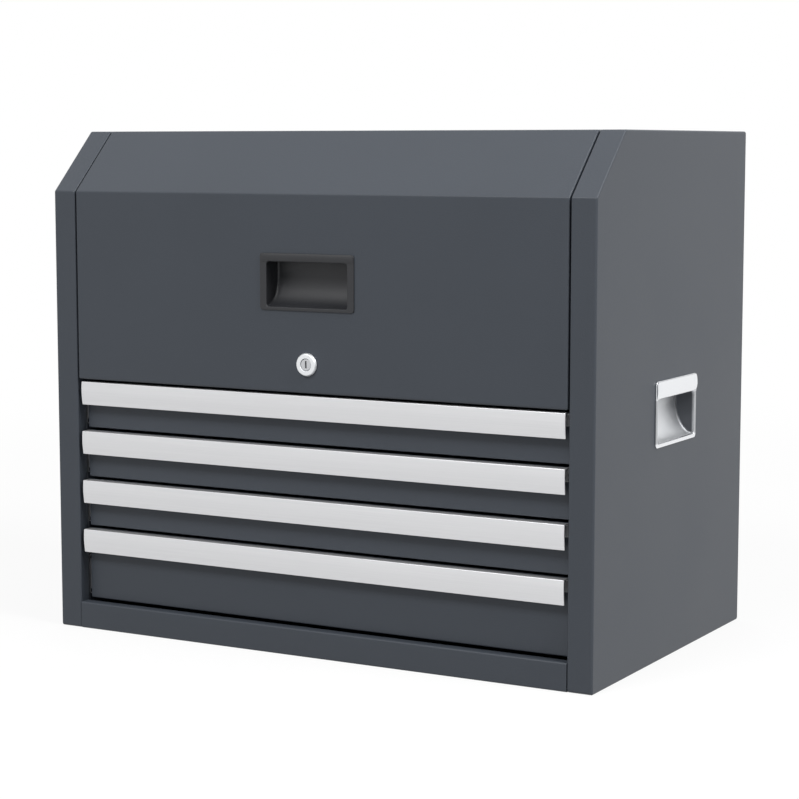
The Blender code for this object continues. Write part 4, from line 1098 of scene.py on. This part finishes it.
for side in ("left", "right"):
    foot = np.array(joints["strut_swing_" + side]["pos_m"])
    line = np.array(joints["strut_extend_" + side]["axis"])
    tube = (corners_of("strut_tube_" + side) - foot) @ line
    rod = (corners_of("strut_rod_" + side) - foot) @ line
    tube_end, rod_end = tube.max(), rod.max()
    tube_radius = np.abs(corners_of("strut_tube_" + side)[:, 0] - foot[0]).max()
    bore, guide = tube_radius - STRUT_WALL, ROD_RADIUS + FIT_GAP
    head = rod_end - EYE_RADIUS
    profile = rounded_path(
        [
            (SHOULDER_START, 0.0), (SHOULDER_START, SHOULDER_RADIUS), (SHOULDER_END, tube_radius),
            (tube_end, tube_radius), (tube_end, guide), (tube_end - GUIDE_LENGTH, guide),
            (tube_end - GUIDE_LENGTH, bore), (STRUT_CAP_END, bore), (STRUT_CAP_END, 0.0),
        ],
        [0, 0.001, 0.002, 0.0018, 0.0003, 0.0003, 0.0002, 0.0005, 0], lead=LEAD / 6,
    )[1:-1]
    skins = [turned(profile, (0, 0), 2)] + eye(0.0, STUD_RADIUS + FIT_GAP, NECK_START, TUBE_NECK_END)
    placed = [leant(skin, line, foot) for skin in skins]
    node = "strut_tube_" + side
    piece("strut_cylinder_" + side, placed, "strut_black", node, node)

    piston = rod.min()
    collar = head - 2 * EYE_RADIUS
    rod_profile = [
        (piston, bore - 2 * FIT_GAP), (piston + FIT_GAP, bore - FIT_GAP),
        (piston + PISTON_LENGTH, bore - FIT_GAP), (piston + PISTON_LENGTH, ROD_RADIUS), (collar, ROD_RADIUS),
        (collar, ROD_RADIUS + COLLAR_RISE), (collar + EYE_RADIUS, ROD_RADIUS + COLLAR_RISE),
    ]
    skins = [turned(rod_profile, (0, 0), 2)]
    skins += eye(head, ROD_EYE_HOLE, head - ROD_NECK_LENGTH, head - NECK_START)
    knob = corners_of("strut_rod_" + side)[:, 0] - foot[0]
    reach = knob[np.argmax(np.abs(knob))]
    stud = [(0.0, STUD_RADIUS), (reach * STUD_TIP_START, STUD_RADIUS), (reach, STUD_RADIUS * STUD_TIP_SHARE)]
    skins.append(turned(stud, (0, head), 0))
    placed = [leant(skin, line, foot) for skin in skins]
    node = "strut_rod_" + side
    piece("strut_ground_rod_" + side, placed, "rod_chrome", node, node)

    sign = math.copysign(1, foot[0])
    bracket = np.abs(corners_of("strut_bracket_" + side))
    low, high = span("strut_bracket_" + side)
    web = bracket[bracket[:, 2] < low[2] + NEAR][:, 0].min()
    path = trough(web, bracket[:, 0].max(), low[1], high[1])
    bracket_skins = strip(path, LEG_RADII, low[2], high[2], BRACKET_SHEET, (1, 2, 0))
    tip = bracket[:, 0].min()
    stud = [(tip, STUD_RADIUS - EYE_ROUND), (tip + EYE_ROUND, STUD_RADIUS)]
    stud.append((web + BRACKET_SHEET / 2, STUD_RADIUS))
    skins = [on_side(sign, bracket_skins), turned(np.array(stud) * (sign, 1), foot[1:], 0)]
    piece("strut_bracket_folded_" + side, skins, "zinc_steel", "case", "strut_bracket_" + side)

# %% [markdown]
# ## Ball slides
#
# A slide is three rolled channels, one inside the other, that run on rows of balls. Each channel is a strip
# folded along its own cross-section, with bends where the balls run and a row of holes in its web. A row of
# balls is turned work: one profile that swells and narrows once for each ball.

# %% Rolled members on rows of balls
SLIDE_SHEET = 0.0012
SLIDE_BEND = 0.0019
SLIDE_LIP = 0.0035
BALL_RADIUS = 0.0016
BALL_SETBACK = 0.0018
BALL_PITCH = 0.009
BALL_NECK = 0.45
BALL_END_GAP = 0.004
HOLE_CELLS = 7
BALL_STEPS = 10
WEBS = {"outer": (0.0, 0.0095), "middle": (0.0016, 0.0112), "inner": (0.0127, 0.0045)}
HOLES = {"outer": (0.0024, 5), "middle": (0.0050, 3), "inner": (0.0022, 6)}
BALL_STARTS = {"middle": 0.004, "inner": 0.006}


def channel(member, half, start, end):
    """Make a channel whose web stands at one setback and whose flanges reach another.

    The web has evenly spaced round holes. The outer and middle channels end in lips.
    """
    web, reach = WEBS[member]
    radius, count = HOLES[member]
    path = [(reach, half), (web, half), (web, -half), (reach, -half)]
    if member == "inner":
        path = path[::-1]
    else:
        path = [(reach, half - SLIDE_LIP)] + path + [(reach, SLIDE_LIP - half)]
    web_run = len(path) // 2 - 1
    lines = np.linspace(-1.15, 1.15, HOLE_CELLS + 1) * radius
    centres = start + (end - start) * (np.arange(count) + 0.5) / count
    along = (centres[:, None] + lines).ravel()
    heading = (path[web_run + 1][1] - path[web_run][1]) / (2 * half)
    marks = {web_run: (1, lines * heading)}
    skins = strip(path, [SLIDE_BEND] * len(path), start, end, SLIDE_SHEET, (1, 0, 2), along, marks=marks)
    keep = np.ones(cells(skins[0]).shape[:2], bool)
    on_web = np.abs(cells(skins[0])[..., 0] - web) < NEAR
    for centre in centres:
        cut_round(skins, keep, on_web, [1, 2], np.array([centre, 0.0]), radius)
    return sheet(*skins, keep=keep)


def ball_row(setback, height, start, end):
    """Turn a row of balls about its own length, with a neck between each ball and the next."""
    count = int((end - start) / BALL_PITCH)
    swell = np.linspace(-1, 1, 7)
    radii = np.maximum(np.sqrt(1 - swell ** 2), BALL_NECK) * BALL_RADIUS
    middles = start + (np.arange(count) + 0.5) * (end - start) / count
    profile = np.column_stack([(middles[:, None] + swell * BALL_RADIUS).ravel(), np.tile(radii, count)])
    return turned(profile, (setback, height), 1, steps=BALL_STEPS)


def in_place(skin, sign, centre):
    """Set a slide's skin, drawn as (setback, along, height), against the side of the opening."""
    points, groups = skin
    x, y, z = points.T
    return np.column_stack([sign * (opening_half - x), y, z + centre]), groups


for drawer in drawers:
    low, high = span(drawer + "_slide_outer_right")
    centre = (low[2] + high[2]) / 2
    for member in WEBS:
        ball_start = BALL_STARTS.get(member)
        reach_half = span(drawer + "_slide_" + member + "_right")[1][2] - centre
        half = reach_half - 2 * BALL_RADIUS if ball_start else reach_half
        skins = [channel(member, half, low[1], high[1])]
        start, end = low[1] + BALL_END_GAP, high[1] - BALL_END_GAP
        if ball_start:
            for side in (-1, 1):
                skins.append(ball_row(ball_start + BALL_SETBACK, side * (half + BALL_RADIUS), start, end))
        for side, sign in (("left", -1), ("right", 1)):
            node = drawer + "_slide_" + member + "_" + side
            body = {"outer": "case", "middle": drawer + "_middle", "inner": drawer}[member]
            placed = [in_place(skin, sign, centre) for skin in skins]
            piece(node + "_rolled", placed, "zinc_steel", body, node)

# %% [markdown]
# ## The pieces that the model already shapes well
#
# The hinge's leaves and pin, the till's floor and the lock's nut and cam are plain flat or turned shapes, and
# the model has them at full detail. They keep their own meshes and only take a finish.

# %% Finish the carried-over nodes
for row in frame["record"]["subparts"]:
    mesh = frame["nodes"][row["node"]].data
    mesh.materials.clear()
    mesh.materials.append(finishes[row["material_slot"]])

# %% [markdown]
# ## Floor, light and camera
#
# The chest stands on a white floor in a white room. The room is full white only to the camera and to
# mirrors, and softer as a light, so the paint keeps its own dark tone. The floor too looks nearly white but
# throws less light back up, so the fronts stay shady under each pull. A large lamp at the right makes the
# side lighter than the front, and a high one in front lights the lid and the drawers.

# %% White floor and room
FLOOR_HALF = 14.0
FLOOR_GLOW = 0.87
FADE_START = 0.7
FADE_END = 2.4
PAPER_SEEN = 0.9
PAPER_BOUNCE = 0.35
WORLD_LIGHT = 0.30


def looked_at(shading):
    """Give 1 to camera, glossy and transmission rays, and 0 to the rays that gather light."""
    kinds = ("Camera", "Glossy", "Transmission")
    path = {kind: shading.node("ShaderNodeLightPath", output="Is " + kind + " Ray") for kind in kinds}
    return path["Camera"].highest(path["Glossy"]).highest(path["Transmission"])


corners = [(x * FLOOR_HALF, y * FLOOR_HALF, 0) for x, y in ((-1, -1), (1, -1), (1, 1), (-1, 1))]
floor_mesh = bpy.data.meshes.new("studio_floor")
floor_mesh.from_pydata(corners, [], [(0, 1, 2, 3)])
floor = bpy.data.objects.new("studio_floor", floor_mesh)
bpy.context.scene.collection.objects.link(floor)

paper = Finish("white_paper", Specular_IOR_Level=0.0, Roughness=0.9)
seen = looked_at(paper)
paper.plug(paper.shader.inputs["Base Color"], seen * (PAPER_SEEN - PAPER_BOUNCE) + PAPER_BOUNCE)
distance = paper.node("ShaderNodeVectorMath", {"operation": "LENGTH"}, {0: paper.place}, output="Value")
share = paper.node("ShaderNodeMapRange", {"interpolation_type": "SMOOTHSTEP"}, {
    "Value": distance, "From Min": FADE_START, "From Max": FADE_END, "To Min": FLOOR_GLOW, "To Max": 1.0,
})
glow = paper.node("ShaderNodeEmission", None, {"Strength": 1.0})
lit = Signal(paper, paper.shader.outputs[0])
mixed = paper.node("ShaderNodeMixShader", None, {0: share * seen, 1: lit, 2: glow})
paper.plug(paper.tree.nodes["Material Output"].inputs["Surface"], mixed)
floor_mesh.materials.append(paper.material)

world = bpy.data.worlds.new("white_room")
bpy.context.scene.world = world
world.use_nodes = True
room = Shading(world.node_tree)
white = (1, 1, 1, 1)
bright = room.node("ShaderNodeBackground", None, {"Color": white, "Strength": 1.0})
soft = room.node("ShaderNodeBackground", None, {"Color": white, "Strength": WORLD_LIGHT})
mixed = room.node("ShaderNodeMixShader", None, {0: looked_at(room), 1: soft, 2: bright})
room.plug(world.node_tree.nodes["World Output"].inputs["Surface"], mixed)
bpy.context.scene.view_settings.view_transform = "Standard"
print("floor and room:", floor.name, world.name)

# %% [markdown]
# ## Lamps
#
# Soft lamps are large ones: the shadow's edge is as wide as the lamp looks from the chest. Each lamp is
# aimed by turning its own -Z axis at a point on the chest.

# %% Soft lamps
def lamp(name, place, target, size, power):
    """Hang a square area lamp and aim it at a point."""
    light = bpy.data.lights.new(name, "AREA")
    light.size = size
    light.energy = power
    made = bpy.data.objects.new(name, light)
    made.location = place
    aim = np.array(target, float) - place
    aim /= np.linalg.norm(aim)
    made.rotation_euler = (math.acos(-aim[2]), 0, math.atan2(aim[1], aim[0]) - math.pi / 2)
    bpy.context.scene.collection.objects.link(made)


lamp("key_right", (2.6, -0.4, 2.7), (0.1, 0, 0.3), 1.5, 92)
lamp("high_front", (-0.3, -2.6, 2.9), (0, 0, 0.3), 1.2, 74)
lamp("high_back", (-0.6, 1.6, 3.0), (0, 0, 0.4), 1.8, 18)

# %% [markdown]
# ## Camera
#
# The camera's place was worked out from the chest's corners in the photograph: a little above the middle,
# about 29 degrees round to the right, with a long lens.

# %% Camera at the photograph's place
CAMERA_PLACE = (1.193, -2.128, 0.541)
CAMERA_AZIMUTH = 29.34
CAMERA_PITCH = 6.65
LENS = 97.7

camera_data = bpy.data.cameras.new("photo_camera")
camera_data.lens = LENS
camera_data.sensor_width = 36.0
camera = bpy.data.objects.new("photo_camera", camera_data)
camera.location = CAMERA_PLACE
camera.rotation_euler = (math.radians(90 - CAMERA_PITCH), 0, math.radians(CAMERA_AZIMUTH))
bpy.context.scene.collection.objects.link(camera)
bpy.context.scene.camera = camera
print("camera at", CAMERA_PLACE)
